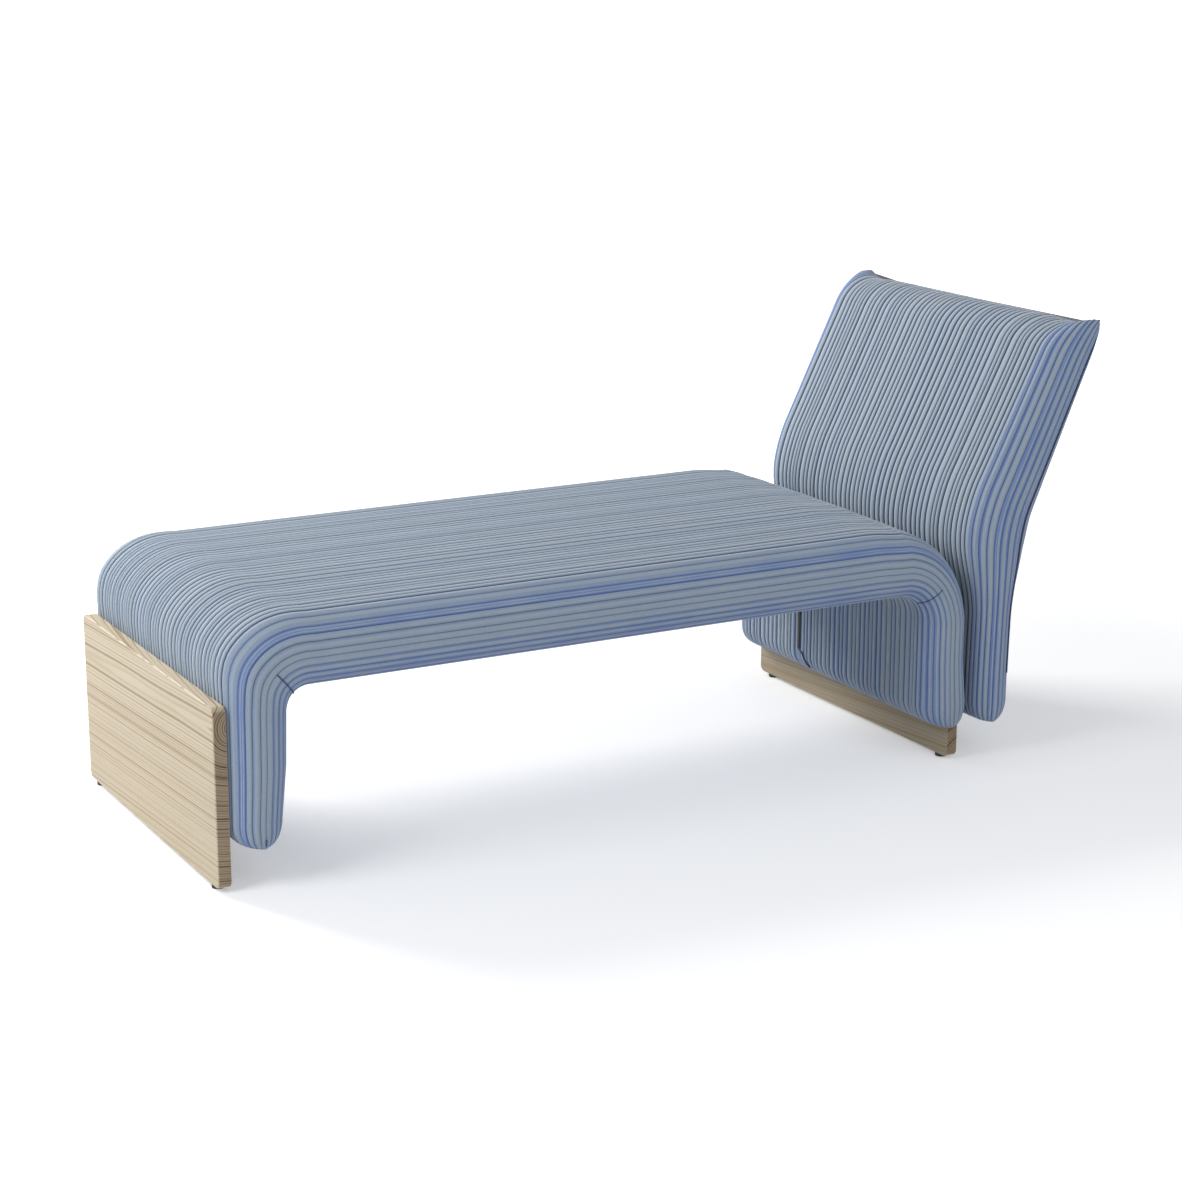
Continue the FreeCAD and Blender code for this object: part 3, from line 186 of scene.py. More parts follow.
class TimberLooks(bpy.types.PropertyGroup):
    pale: colour("Pale wood", "Colour between the growth rings", (0.520, 0.450, 0.335))
    ring: colour("Ring", "Colour of the growth rings", (0.300, 0.225, 0.135))
    end: colour("End grain", "Darker colour of the sawn ends", (0.300, 0.215, 0.130))
    end_ring: colour("End rings", "Growth rings on the sawn ends", (0.090, 0.056, 0.028))


def looks(name):
    return getattr(bpy.context.scene, name)


# Sections of the covers: rounded loops square to a cushion's run


def smooth(share):
    share = np.clip(share, 0.0, 1.0)
    return share * share * (3 - 2 * share)


def side_curve(half, deep, share):
    """Places and ways outwards on a rounded side, from the outer face at 0 to the inner one at 1."""
    lean = half**2 - deep**2
    aside, up = -lean / (4 * deep), lean / (4 * half)
    radius = np.sqrt(aside**2 + (half - up) ** 2)
    start = np.arctan2(half - up, -aside)
    end = np.arctan2(-up, deep - aside)
    lower = share > 0.5
    angle = start + (end - start) * np.where(lower, 2 - 2 * share, 2 * share)
    sign = np.where(lower, -1.0, 1.0)
    depth = sign * (up + radius * np.sin(angle))
    return aside + radius * np.cos(angle), depth, np.cos(angle), sign * np.sin(angle)


class Run:
    """Sections along a cushion: place, way outwards, thickness, flat half width, side, crowns and hold."""

    def __init__(self):
        self.rows = []

    def add(self, x, z, turn, thick, flat, deep, crown=0.0, under=0.0, held=0.0):
        self.rows.append((x, z, turn, thick, flat, deep, crown, under, held))

    def table(self):
        return np.array(self.rows, float)


def rib_line(rng, wide, rib):
    """Places, heights, dyes, depths and threads across a face, with ribs of uneven widths."""
    count = max(3, round(wide / rib))
    widths = rng.uniform(*RIB_WIDTHS, count)
    edges = np.concatenate([[0], np.cumsum(widths)]) / widths.sum()
    places, heights, tones, depths, fine = [], [], [], [], []
    for index in range(count):
        start, end = edges[index], edges[index + 1]
        depth = rng.uniform(*RIB_DENTS)
        tone = rng.uniform(0, 1)
        thread = rng.choice(RIB_STEPS[2:7])
        for step in RIB_STEPS:
            places.append(start + (end - start) * step)
            heights.append(math.sin(math.pi * step) ** RIB_ROUNDNESS)
            tones.append(tone)
            depths.append(depth)
            fine.append(THREAD_SHADE if step == thread else 1.0)
    return [np.array(row) for row in (places, heights, tones, depths, fine)]


def laid_on(kind, share, half, flat, deep, crown, under):
    """Places on one part of a loop: across the width, in depth, and which way is outwards there."""
    sign = 1.0 if kind in ("outer", "side+") else -1.0
    if kind in ("outer", "inner"):
        across = (2 * share - 1) * sign
        bulge = (crown if kind == "outer" else under) * (1 - across**2)
        y = across * flat
        return y, sign * (half + bulge), np.zeros_like(y), np.full_like(y, sign)
    aside, depth, out_y, out_depth = side_curve(half, deep, share if kind == "side+" else 1 - share)
    return sign * (flat + aside), depth, sign * out_y, out_depth


def cover_mesh(name, run, rng, look, ears=None, channel=None):
    """A closed cover through a run's sections, its ribs raised and its grooves sunk, flat beside a zip, with
    each point's rise kept for the painted shade in its grooves.
    """
    table = run.table()
    count = len(table)
    x, z, turn, thick, flat, deep, crown, under, held = (table[:, i : i + 1] for i in range(9))
    middle = table[count // 2]
    quarter = 0.5 * math.pi * math.sqrt((middle[3] ** 2 / 4 + middle[5] ** 2) / 2)
    half = thick / 2
    rows = np.ones((count, 1))
    parts = []
    for kind, wide in (("outer", middle[4]), ("side+", quarter), ("inner", middle[4]), ("side-", quarter)):
        places, heights, tone, dents, fine = rib_line(rng, 2 * wide, look.rib)
        share = places[None, :]
        y, depth, out_y, out_depth = laid_on(kind, share, half, flat, deep, crown, under)
        if kind in ("outer", "inner"):
            bold, groove_shade_sharpness, dye, lift = OUTER_FACE if kind == "outer" else INNER_FACE
            fine = 1.0
        else:
            from_outer = places if kind == "side+" else 1 - places
            bold = 0.7 - 0.35 * smooth((from_outer - 0.35) / 0.3)
            groove_shade_sharpness, dye, lift = SIDE_LOOK
        relief = heights * (look.proud + look.groove) * (0.4 + 0.6 * dents) * bold - look.groove * bold
        sunk = (heights - 1) * HELD_SINK
        against = held if kind == "outer" else held * np.clip(out_depth, 0, 1)
        relief = relief * (1 - against) + sunk * against
        if channel is not None and kind == "inner":
            beside = smooth((np.abs(y * rows - channel) - CHANNEL_HALF) / CHANNEL_EDGE)
            relief = relief * beside - CHANNEL_DEEP * (1 - beside)
        # Rise: the rib's height, sharpened by face, which the cover's material turns into painted shade in
        # the grooves
        rise = lift + (1 - lift) * heights**groove_shade_sharpness * fine
        values = (y, half + depth, out_y, out_depth, relief, rise, tone * dye)
        parts.append([value * rows for value in values])
    y, depth, out_y, out_depth, relief, rise, tone = (np.concatenate(part, 1) for part in zip(*parts))
    y = y + out_y * relief
    depth = depth + out_depth * relief
    x = x + np.cos(turn) * depth
    z = z + np.sin(turn) * depth
    if ears is not None:
        x, y, z = ears(x, y, z)
    points = np.stack([x + PANEL_FACE, y, z], 2)
    around = y.shape[1]
    base = np.arange(count - 1)[:, None] * around
    here = np.arange(around)[None, :]
    after = (here + 1) % around
    corners = (base + here, base + after, base + around + after, base + around + here)
    faces = np.stack(corners, 2).reshape(-1, 4).tolist()
    faces.append(list(range(around))[::-1])
    faces.append([(count - 1) * around + i for i in range(around)])
    mesh = bpy.data.meshes.new(name)
    mesh.from_pydata(points.reshape(-1, 3).tolist(), [], faces)
    mesh.update()
    piece = bpy.data.objects.new(name, mesh)
    bpy.context.scene.collection.objects.link(piece)
    path = np.linalg.norm(np.diff(points[:, 0, :], axis=0), axis=1)
    along = np.concatenate([[0], np.cumsum(path)])
    # The rise carries the painted groove shade to the cover's material
    store(mesh, "rise", rise)
    store(mesh, "tone", tone)
    store(mesh, "along", along[:, None] * np.ones((1, around)))
    for polygon in mesh.polygons:
        polygon.use_smooth = True
    face_outwards(piece)
    return piece


def store(mesh, name, values):
    """Keeps a value at each point, for the cover's material to read."""
    layer = mesh.attributes.new(name, "FLOAT", "POINT")
    layer.data.foreach_set("value", np.ascontiguousarray(values, np.float32).ravel())


def choose(piece):
    bpy.ops.object.select_all(action="DESELECT")
    piece.select_set(True)
    bpy.context.view_layer.objects.active = piece


def face_outwards(piece):
    choose(piece)
    bpy.ops.object.mode_set(mode="EDIT")
    bpy.ops.mesh.select_all(action="SELECT")
    bpy.ops.mesh.normals_make_consistent(inside=False)
    bpy.ops.object.mode_set(mode="OBJECT")


def tip_levels(s):
    """Heights above the floor and fullness, up a leg's rounded tip."""
    for angle in TIP_ANGLES:
        turn = math.radians(angle)
        yield s.clear + s.tip * (1 - math.sin(turn)), math.cos(turn) ** TIP_FULLNESS


def seat_run():
    """The seat's run, from the foot leg's tip over the seat to the head leg's tip."""
    s = looks("chaise_seat")
    run = Run()
    flat = s.wide / 2 - s.side
    leg_low = s.clear + s.tip
    foot_top = s.underside - s.bend_foot
    head_top = s.underside - s.bend_head
    level = math.pi / 2

    # Foot leg, held flat against the panel
    touch = COVER_FACE + FOOT_TIP_MEETS * FOOT_LEG_LOW
    for z, share in tip_levels(s):
        inner = touch + (COVER_FACE + FOOT_LEG_LOW - touch) * share
        outer = touch + (COVER_FACE - touch) * share
        run.add(inner, z, math.pi, inner - outer, flat, s.side * (2 + share) / 3, held=1.0)
    levels = (leg_low, (leg_low + foot_top) / 2, foot_top)
    for z in np.linspace(leg_low, foot_top, 7):
        thick = float(np.interp(z, levels, (FOOT_LEG_LOW, FOOT_LEG_MIDDLE, FOOT_LEG_TOP)))
        run.add(COVER_FACE + thick, z, math.pi, thick, flat, s.side, held=1.0)

    # Foot bend, flat up to the panel's top edge
    radius = s.bend_foot + FOOT_LEG_TOP
    stay = math.degrees(math.asin((PANEL_HIGH.z - foot_top) / radius))
    free = 180 - stay
    centre = COVER_FACE + FOOT_LEG_TOP + s.bend_foot
    above_panel = radius / math.cos(math.radians(stay)) - s.bend_foot
    for turn in np.concatenate([[180 - stay * 0.5], np.linspace(free, 90, 18)]):
        if turn >= free:
            thick = radius / math.cos(math.radians(180 - turn)) - s.bend_foot
            held = 1.0 if turn > 180 - stay * 0.8 else 0.75
        else:
            share = (free - turn) / (90 - stay)
            plain = s.thick + (above_panel - s.thick) * float(smooth(1 - share * 2.6))
            thick = plain + FOOT_BEND_SWELL * math.sin(math.pi * share) ** 1.3
            held = 0.5 * float(smooth(1 - share * 8))
        rise = float(smooth(1 - abs(turn - 90) / (90 - stay)))
        angle = math.radians(turn)
        x = centre + s.bend_foot * math.cos(angle)
        z = foot_top + s.bend_foot * math.sin(angle)
        run.add(x, z, angle, thick, flat, s.side, s.crown * rise, UNDER_CROWN * rise, held)

    # Seat, a little thinner as it nears the head bend
    head_centre = s.head_inner - s.bend_head
    for x in np.linspace(centre, head_centre - HEAD_EASE, 26)[1:]:
        run.add(x, s.underside, level, s.thick, flat, s.side, s.crown, UNDER_CROWN)
    for share in (0.3, 0.6, 0.85):
        thick = s.thick - HEAD_EASE_DROP * float(smooth(share))
        x = head_centre - HEAD_EASE * (1 - share)
        run.add(x, s.underside, level, thick, flat, s.side, s.crown, UNDER_CROWN)

    # Head bend and head leg, held by the back
    start = s.thick - HEAD_EASE_DROP
    for turn in np.linspace(90, 0, 17):
        share = 1 - turn / 90
        thick = start + (HEAD_LEG_TOP - start) * float(smooth(share))
        thick -= HEAD_BEND_DIP * math.sin(math.pi * share**0.8)
        rise = float(smooth(turn / 90))
        angle = math.radians(turn)
        x = head_centre + s.bend_head * math.cos(angle)
        z = head_top + s.bend_head * math.sin(angle)
        held = float(smooth(share * 2 - 1)) * HEAD_HELD
        run.add(x, z, angle, thick, flat, s.side, s.crown * rise, UNDER_CROWN * rise, held)
    levels = (leg_low, (leg_low + head_top) / 2, head_top)
    for z in np.linspace(head_top, leg_low, 7)[1:]:
        thick = float(np.interp(z, levels, (HEAD_LEG_LOW, HEAD_LEG_TOP, HEAD_LEG_TOP)))
        run.add(s.head_inner, z, 0.0, thick, flat, s.side, held=HEAD_HELD)
    for z, share in list(tip_levels(s))[::-1]:
        inner, thick = head_tip(s, share)
        run.add(inner, z, 0.0, thick, flat, s.side * (2 + share) / 3, held=HEAD_HELD)
    return run


def head_tip(s, share):
    """The head leg's inner face and thickness in its rounded tip, at a fullness."""
    touch = s.head_inner + HEAD_TIP_MEETS * HEAD_LEG_LOW
    inner = touch + (s.head_inner - touch) * share
    outer = touch + (s.head_inner + HEAD_LEG_LOW - touch) * share
    return inner, outer - inner


def back_run():
    """The back's run, from its lower tip to its rounded top."""
    s, b = looks("chaise_seat"), looks("chaise_back")
    run = Run()
    reach = b.bend * math.tan(b.lean / 2)
    bend_from = b.knee - reach
    leg_low = s.clear + s.tip

    def row(x, z, lean, thick, wide, crown, shift=0.0, shrink=1.0):
        turn = math.pi - lean
        half = thick / 2 * shrink
        deep = s.side * (2 + shrink) / 3
        x -= math.cos(turn) * (half + shift)
        z -= math.sin(turn) * (half + shift)
        run.add(x, z, turn, 2 * half, wide / 2 - s.side, deep, crown, crown / 3)

    def sloping(along):
        return b.middle + along * math.sin(b.lean), b.knee + along * math.cos(b.lean)

    def thick_at(z):
        share = float(smooth((z - THICKENS_FROM) / THICKENS_OVER))
        return b.low_thick + (b.knee_thick - b.low_thick) * share

    def wide_at(z):
        share = float(smooth((z - leg_low) / (b.knee - leg_low)))
        return BACK_LOW_WIDE + (BACK_KNEE_WIDE - BACK_LOW_WIDE) * share

    for z, share in tip_levels(s):
        row(b.middle, z, 0.0, b.low_thick, BACK_LOW_WIDE, 0.0, shrink=share)
    for z in np.linspace(leg_low, bend_from, 18):
        crown = BACK_CROWN * float(smooth((z - leg_low) / (bend_from - leg_low)))
        row(b.middle, z, 0.0, thick_at(z), wide_at(z), crown)
    for share in np.linspace(0, 1, 9)[1:]:
        lean = b.lean * share
        x = b.middle + b.bend * (1 - math.cos(lean))
        z = bend_from + b.bend * math.sin(lean)
        row(x, z, lean, thick_at(z), wide_at(z), BACK_CROWN)
    for share in np.linspace(0, 1, 11)[1:]:
        x, z = sloping(reach + (b.slope - reach) * share)
        thick = b.knee_thick + (b.top_thick - b.knee_thick) * share
        wide = BACK_KNEE_WIDE + (BACK_SLOPE_WIDE - BACK_KNEE_WIDE) * share
        row(x, z, b.lean, thick, wide, BACK_CROWN)
    for angle in TOP_ANGLES:
        share, shrink = math.sin(math.radians(angle)), math.cos(math.radians(angle))
        x, z = sloping(b.slope + b.top_long * share)
        wide = BACK_SLOPE_WIDE + (BACK_TOP_WIDE - BACK_SLOPE_WIDE) * share**2
        row(x, z, b.lean, b.top_thick, wide, BACK_CROWN * shrink, b.top_back * (1 - shrink), shrink)
    return run


def lift_ears(x, y, z):
    """Draws the back's two top corners up into small ears."""
    b = looks("chaise_back")
    along = (x - b.middle) * math.sin(b.lean) + (z - b.knee) * math.cos(b.lean)
    near_top = smooth((along - (b.slope - 0.010)) / (b.top_long + 0.006))
    near_side = smooth((np.abs(y) - EAR_FROM) / EAR_OVER)
    pull = near_top**1.8 * near_side**2.2
    x = x + pull * (b.ear * math.sin(b.lean) * 0.6)
    z = z + pull * b.ear
    y = y + np.sign(y) * pull * 0.004
    dip = near_top**2 * smooth(1 - np.abs(np.abs(y) - DIP_AT) / DIP_OVER) * DIP_DEEP
    return x, y, z - dip


def side_points(row, sign, first, last, proud, count=9):
    """Places on a row's rounded side, from 0 at its outer face to 1 at its inner one, a little proud."""
    x, z, turn, thick, flat, deep = row[:6]
    points = []
    for share in np.linspace(first, last, count):
        aside, depth, out_y, out_depth = side_curve(thick / 2, deep, share)
        depth += thick / 2 + proud * out_depth
        y = sign * (flat + aside + proud * out_y)
        points.append((x + math.cos(turn) * depth + PANEL_FACE, y, z + math.sin(turn) * depth))
    return points


def sewn_line(name, points, radius, material):
    """A thin welt or thread along a line of places."""
    line = bpy.data.curves.new(name, "CURVE")
    line.dimensions = "3D"
    line.bevel_depth = radius
    line.bevel_resolution = 2
    line.use_fill_caps = True
    spline = line.splines.new("POLY")
    spline.points.add(len(points) - 1)
    for spot, place in zip(spline.points, points):
        spot.co = (*place, 1.0)
    piece = bpy.data.objects.new(name, line)
    bpy.context.scene.collection.objects.link(piece)
    choose(piece)
    bpy.ops.object.convert(target="MESH")
    piece = bpy.context.object
    bpy.ops.object.shade_smooth()
    dress(piece, material)
    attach(piece, "chaise")


def zip_end():
    """Places down the head leg's inner face, from the closed zip's lower end towards the middle."""
    s = looks("chaise_seat")
    leg_low = s.clear + s.tip
    start = ZIP_LOW[2] + 0.003
    points = []
    for share in np.linspace(0, 1, 7):
        z = start + (leg_low - start) * share
        points.append((s.head_inner + PANEL_FACE - WELT_PROUD, ZIP_Y - 0.014 * share**2, z))
    for step, angle in enumerate((12, 25, 38)):
        turn = math.radians(angle)
        inner, _ = head_tip(s, math.cos(turn) ** TIP_FULLNESS)
        z = s.clear + s.tip * (1 - math.sin(turn))
        points.append((inner + PANEL_FACE - WELT_PROUD, ZIP_Y - 0.018 - 0.005 * step, z))
    return points


def nearest_row(table, turn):
    """The row of a run whose way outwards is nearest to an angle."""
    return table[int(np.argmin(np.abs(table[:, 2] - math.radians(turn))))]


# Shader node groups


def group(name, inputs):
    """A node group that gives a colour, a roughness and a height."""
    tree = bpy.data.node_groups.new(name, "ShaderNodeTree")
    for label, value in inputs.items():
        kind = "NodeSocketColor" if isinstance(value, tuple) else "NodeSocketFloat"
        tree.interface.new_socket(label, in_out="INPUT", socket_type=kind).default_value = value
    for label, kind in (("Color", "Color"), ("Roughness", "Float"), ("Height", "Float")):
        tree.interface.new_socket(label, in_out="OUTPUT", socket_type="NodeSocket" + kind)
    return tree, tree.nodes.new("NodeGroupInput").outputs, tree.nodes.new("NodeGroupOutput").inputs


def node(tree, kind, settings=None, inputs=None):
    made = tree.nodes.new("ShaderNode" + kind)
    for key, value in (settings or {}).items():
        setattr(made, key, value)
    for key, value in (inputs or {}).items():
        if isinstance(value, bpy.types.NodeSocket):
            tree.links.new(value, made.inputs[key])
        else:
            made.inputs[key].default_value = value
    return made


def ramp(tree, factor, stops):
    made = node(tree, "ValToRGB", inputs={0: factor})
    elements = made.color_ramp.elements
    while len(elements) < len(stops):
        elements.new(0.5)
    for element, (place, shade) in zip(elements, stops):
        element.position = place
        element.color = shade
    return made.outputs[0]


def maths(tree, way, first, second=0.0, third=0.0):
    return node(tree, "Math", {"operation": way}, {0: first, 1: second, 2: third}).outputs[0]


def noise(tree, place, scale, detail, stretch=None):
    if stretch is not None:
        place = node(tree, "Mapping", inputs={"Vector": place, "Scale": stretch}).outputs[0]
    return node(tree, "TexNoise", inputs={"Vector": place, "Scale": scale, "Detail": detail}).outputs[0]


def spread(tree, value, low, high):
    return node(tree, "MapRange", inputs={"Value": value, "To Min": low, "To Max": high}).outputs[0]


def mixed(tree, factor, first, second, blend="MIX"):
    made = node(tree, "Mix", {"data_type": "RGBA", "blend_type": blend})
    for index, value in ((0, factor), (6, first), (7, second)):
        if isinstance(value, bpy.types.NodeSocket):
            tree.links.new(value, made.inputs[index])
        else:
            made.inputs[index].default_value = value
    return made.outputs[2]


def grey(value):
    return (value, value, value, 1.0)


def rgba(shade):
    return (*shade, 1.0)


def ribbed_weave():
    """Colour, roughness and height of a ribbed cloth, from a rib's rise and tone and the run along it, with
    painted shade in the grooves.
    """
    inputs = {
        "Rise": 0.5,
        "Tone": 0.5,
        "Along": 0.0,
        "Crest": (0.3, 0.35, 0.4, 1),
        "Streak": (0.1, 0.2, 0.5, 1),
        "Deep": (0.03, 0.05, 0.1, 1),
    }
    tree, take, give = group("Ribbed weave", inputs)
    place = node(tree, "TexCoord").outputs["Object"]
    grain = noise(tree, place, 460.0, 3.0)
    cloud = noise(tree, place, 9.0, 2.0)
    picks = maths(tree, "SINE", maths(tree, "MULTIPLY", take["Along"], CROSS_THREADS))
    slub = maths(tree, "ADD", maths(tree, "MULTIPLY_ADD", picks, 0.5, 0.5), grain)
    # Painted shade: where the rise is low, in the grooves, the colour darkens to the deep colour
    low = ramp(tree, take["Rise"], [(0.12, grey(0)), (0.66, grey(1))])
    wander = maths(tree, "MULTIPLY", maths(tree, "SUBTRACT", cloud, 0.5), 0.28)
    flank = ramp(tree, maths(tree, "ADD", take["Rise"], wander), [(0.64, grey(1)), (0.97, grey(0))])
    strong = maths(tree, "MINIMUM", maths(tree, "MULTIPLY", flank, take["Tone"]), 0.82)
    cloth = mixed(tree, low, take["Deep"], mixed(tree, strong, take["Crest"], take["Streak"]))
    speck = ramp(tree, slub, [(0.25, grey(0.72)), (1.0, grey(1.18))])
    tree.links.new(mixed(tree, 1.0, cloth, speck, "MULTIPLY"), give["Color"])
    tree.links.new(spread(tree, grain, 0.72, 0.92), give["Roughness"])
    tree.links.new(slub, give["Height"])
    return tree


def growth_rings():
    """Colour, roughness and height of timber sawn from a log that lies along Y."""
    inputs = {
        "Log X": 0.1,
        "Log Z": 0.2,
        "Pale": (0.6, 0.5, 0.4, 1),
        "Ring": (0.3, 0.2, 0.1, 1),
        "End": (0.3, 0.2, 0.1, 1),
        "End ring": (0.1, 0.06, 0.03, 1),
        "Spacing": 0.0042,
    }
    tree, take, give = group("Growth rings", inputs)
    place = node(tree, "TexCoord").outputs["Object"]

    # Distance from the log's heart, in years of growth
    drift = noise(tree, place, 0.9, 3.0, (9.0, 1.3, 9.0))
    drift = maths(tree, "MULTIPLY", maths(tree, "SUBTRACT", drift, 0.5), 0.008)
    parts = node(tree, "SeparateXYZ", inputs={0: place}).outputs
    dx = maths(tree, "SUBTRACT", parts[0], take["Log X"])
    tilt = maths(tree, "MULTIPLY", parts[1], 0.055)
    dz = maths(tree, "ADD", maths(tree, "SUBTRACT", parts[2], take["Log Z"]), tilt)
    squares = maths(tree, "ADD", maths(tree, "MULTIPLY", dx, dx), maths(tree, "MULTIPLY", dz, dz))
    radius = maths(tree, "SQRT", squares)
    years = maths(tree, "DIVIDE", maths(tree, "ADD", radius, drift), take["Spacing"])
    slow = maths(tree, "MULTIPLY", years, 0.35)
    uneven = node(tree, "TexNoise", {"noise_dimensions": "1D"}, {"W": slow}).outputs[0]
    years = maths(tree, "ADD", years, maths(tree, "MULTIPLY", uneven, 1.6))
    season = [(0.0, grey(0)), (0.50, grey(0.05)), (0.80, grey(1)), (1.0, grey(0))]
    band = ramp(tree, maths(tree, "FRACT", years), season)

    # Fibres along the log, and patches where the rings are stronger
    fibre = noise(tree, place, 1500.0, 3.0, (1.0, 0.03, 1.0))
    patch = noise(tree, place, 22.0, 2.0, (1.0, 0.25, 1.0))
    weight = maths(tree, "MULTIPLY", band, maths(tree, "MULTIPLY_ADD", patch, 0.9, 0.75))
    streaks = maths(tree, "MULTIPLY", maths(tree, "SUBTRACT", fibre, 0.5), 0.45)
    weight = maths(tree, "ADD", weight, streaks)

    # Sawn ends are darker, with darker rings
    facing = node(tree, "SeparateXYZ", inputs={0: node(tree, "NewGeometry").outputs["Normal"]}).outputs[1]
    sawn = ramp(tree, maths(tree, "ABSOLUTE", facing), [(0.75, grey(0)), (0.95, grey(1))])
    pale = mixed(tree, maths(tree, "MULTIPLY", sawn, 0.80), take["Pale"], take["End"])
    dark = mixed(tree, sawn, take["Ring"], take["End ring"])
    tree.links.new(mixed(tree, weight, pale, dark), give["Color"])
    tree.links.new(spread(tree, fibre, 0.48, 0.66), give["Roughness"])
    height = maths(tree, "SUBTRACT", maths(tree, "MULTIPLY", fibre, 0.6), maths(tree, "MULTIPLY", band, 0.5))
    tree.links.new(height, give["Height"])
    return tree


def worn_grain():
    """A base colour with soft blotches and grain, for paint, plastic, metal, webbing and thread."""
    inputs = {
        "Base": (0.5, 0.5, 0.5, 1),
        "Worn": (0.6, 0.6, 0.6, 1),
        "Grain size": 400.0,
        "Smoothest": 0.4,
        "Roughest": 0.6,
    }
    tree, take, give = group("Worn grain", inputs)
    place = node(tree, "TexCoord").outputs["Object"]
    grain = noise(tree, place, take["Grain size"], 4.0)
    cloud = noise(tree, place, 35.0, 4.0)
    spots = ramp(tree, cloud, [(0.35, grey(0)), (0.75, grey(1))])
    share = maths(tree, "MULTIPLY", spots, grain)
    tree.links.new(mixed(tree, share, take["Base"], take["Worn"]), give["Color"])
    tree.links.new(spread(tree, grain, take["Smoothest"], take["Roughest"]), give["Roughness"])
    tree.links.new(grain, give["Height"])
    return tree


def finish(name, tree, values, settings, bump, scale):
    """A material of one node group and a Principled shader."""
    material = bpy.data.materials.new(name)
    material.use_nodes = True
    nodes = material.node_tree
    shader = nodes.nodes["Principled BSDF"]
    for key, value in settings.items():
        shader.inputs[key].default_value = value
    effect = nodes.nodes.new("ShaderNodeGroup")
    effect.node_tree = tree
    for key, value in values.items():
        effect.inputs[key].default_value = value
    nodes.links.new(effect.outputs["Color"], shader.inputs["Base Color"])
    nodes.links.new(effect.outputs["Roughness"], shader.inputs["Roughness"])
    height = effect.outputs["Height"]
    relief = node(nodes, "Bump", inputs={"Height": height, "Strength": bump, "Distance": scale})
    nodes.links.new(relief.outputs[0], shader.inputs["Normal"])
    return material


def worn(name, base, shade, size, low, high, settings, bump, scale):
    """A material of worn grain, between two colours and two roughnesses."""
    values = {"Base": rgba(base), "Worn": rgba(shade), "Grain size": size, "Smoothest": low, "Roughest": high}
    return finish(name, bpy.data.node_groups["Worn grain"], values, settings, bump, scale)


def cover_cloth(look):
    # The deep colour goes in as the painted shade of the grooves
    values = {"Crest": rgba(look.crest), "Streak": rgba(look.streak), "Deep": rgba(look.deep)}
    settings = {"Sheen Weight": 0.25, "Sheen Roughness": 0.45, "Specular IOR Level": 0.25}
    weave = bpy.data.node_groups["Ribbed weave"]
    material = finish("Ribbed cover", weave, values, settings, 0.25, 0.0006)
    tree = material.node_tree
    effect = next(made for made in tree.nodes if made.type == "GROUP")
    for name in ("rise", "tone", "along"):
        reader = node(tree, "Attribute", {"attribute_name": name})
        tree.links.new(reader.outputs["Fac"], effect.inputs[name.capitalize()])
    return material


def dress(piece, material):
    piece.data.materials.clear()
    piece.data.materials.append(material)


# Pieces


class CHAISE_OT_seat_cover(bpy.types.Operator):
    """Builds the ribbed cover of the seat and its legs"""

    bl_idname = "chaise.seat_cover"
    bl_label = "Seat cover"

    def execute(self, context):
        look = looks("chaise_cover")
        rng = np.random.default_rng(7)
        cover = cover_mesh("seat_cover_ribbed", seat_run(), rng, look, channel=ZIP_Y)
        dress(cover, cover_cloth(look))
        bpy.ops.mesh.primitive_cube_add(size=1.0)
        slot = bpy.context.object
        room = 0.0004
        low = PLINTH_LOW - Vector((room, room, 0.05))
        high = PLINTH_HIGH + Vector((room, room, room))
        slot.location = (low + high) / 2
        slot.scale = high - low
        cut = cover.modifiers.new("Slot for the plinth", "BOOLEAN")
        cut.operation = "DIFFERENCE"
        cut.solver = "FAST"
        cut.object = slot
        choose(cover)
        bpy.ops.object.modifier_apply(modifier=cut.name)
        bpy.data.objects.remove(slot)
        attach(cover, "chaise")
        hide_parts("seat_cover", "seat_foam_outer", "seat_foam_inner")
        return {"FINISHED"}


class CHAISE_OT_back_cover(bpy.types.Operator):
    """Builds the ribbed cover of the back with its two ears"""

    bl_idname = "chaise.back_cover"
    bl_label = "Back cover"

    def execute(self, context):
        look = looks("chaise_cover")
        rng = np.random.default_rng(11)
        cover = cover_mesh("back_cover_ribbed", back_run(), rng, look, ears=lift_ears)
        dress(cover, bpy.data.materials["Ribbed cover"])
        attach(cover, "chaise")
        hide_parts("back_cover", "back_foam_front", "back_foam_rear")
        return {"FINISHED"}


class CHAISE_OT_seams(bpy.types.Operator):
    """Sews the darts at the bends, the foot leg's slits, the back's side seams and the zip's end"""

    bl_idname = "chaise.seams"
    bl_label = "Seams"

    def execute(self, context):
        look = looks("chaise_cover")
        thread = worn("Seam thread", look.thread, look.streak, 1500.0, 0.6, 0.85, {}, 0.4, 0.0003)
        seat = seat_run().table()
        back = back_run().table()
        half = len(seat) // 2
        darts = (
            ("foot_dart", nearest_row(seat[:half], FOOT_DART_TURN), FOOT_DART),
            ("head_dart", nearest_row(seat[half:], HEAD_DART_TURN), HEAD_DART),
        )
        lines = (
            ("back_seam", back[BACK_SEAM_ROWS], BACK_SEAM),
            ("foot_slit", seat[FOOT_SLIT_ROWS], FOOT_SLIT),
        )
        for side, sign in (("near", -1), ("far", 1)):
            for name, row, (first, last, proud, radius) in darts:
                points = side_points(row, sign, first, last, proud)
                sewn_line(f"{name}_{side}", points, radius, thread)
            for name, rows, (share, proud, radius) in lines:
                points = [side_points(row, sign, share, share, proud, 1)[0] for row in rows]
                sewn_line(f"{name}_{side}", points, radius, thread)
        sewn_line("zip_end_welt", zip_end(), WELT_RADIUS, thread)
        return {"FINISHED"}


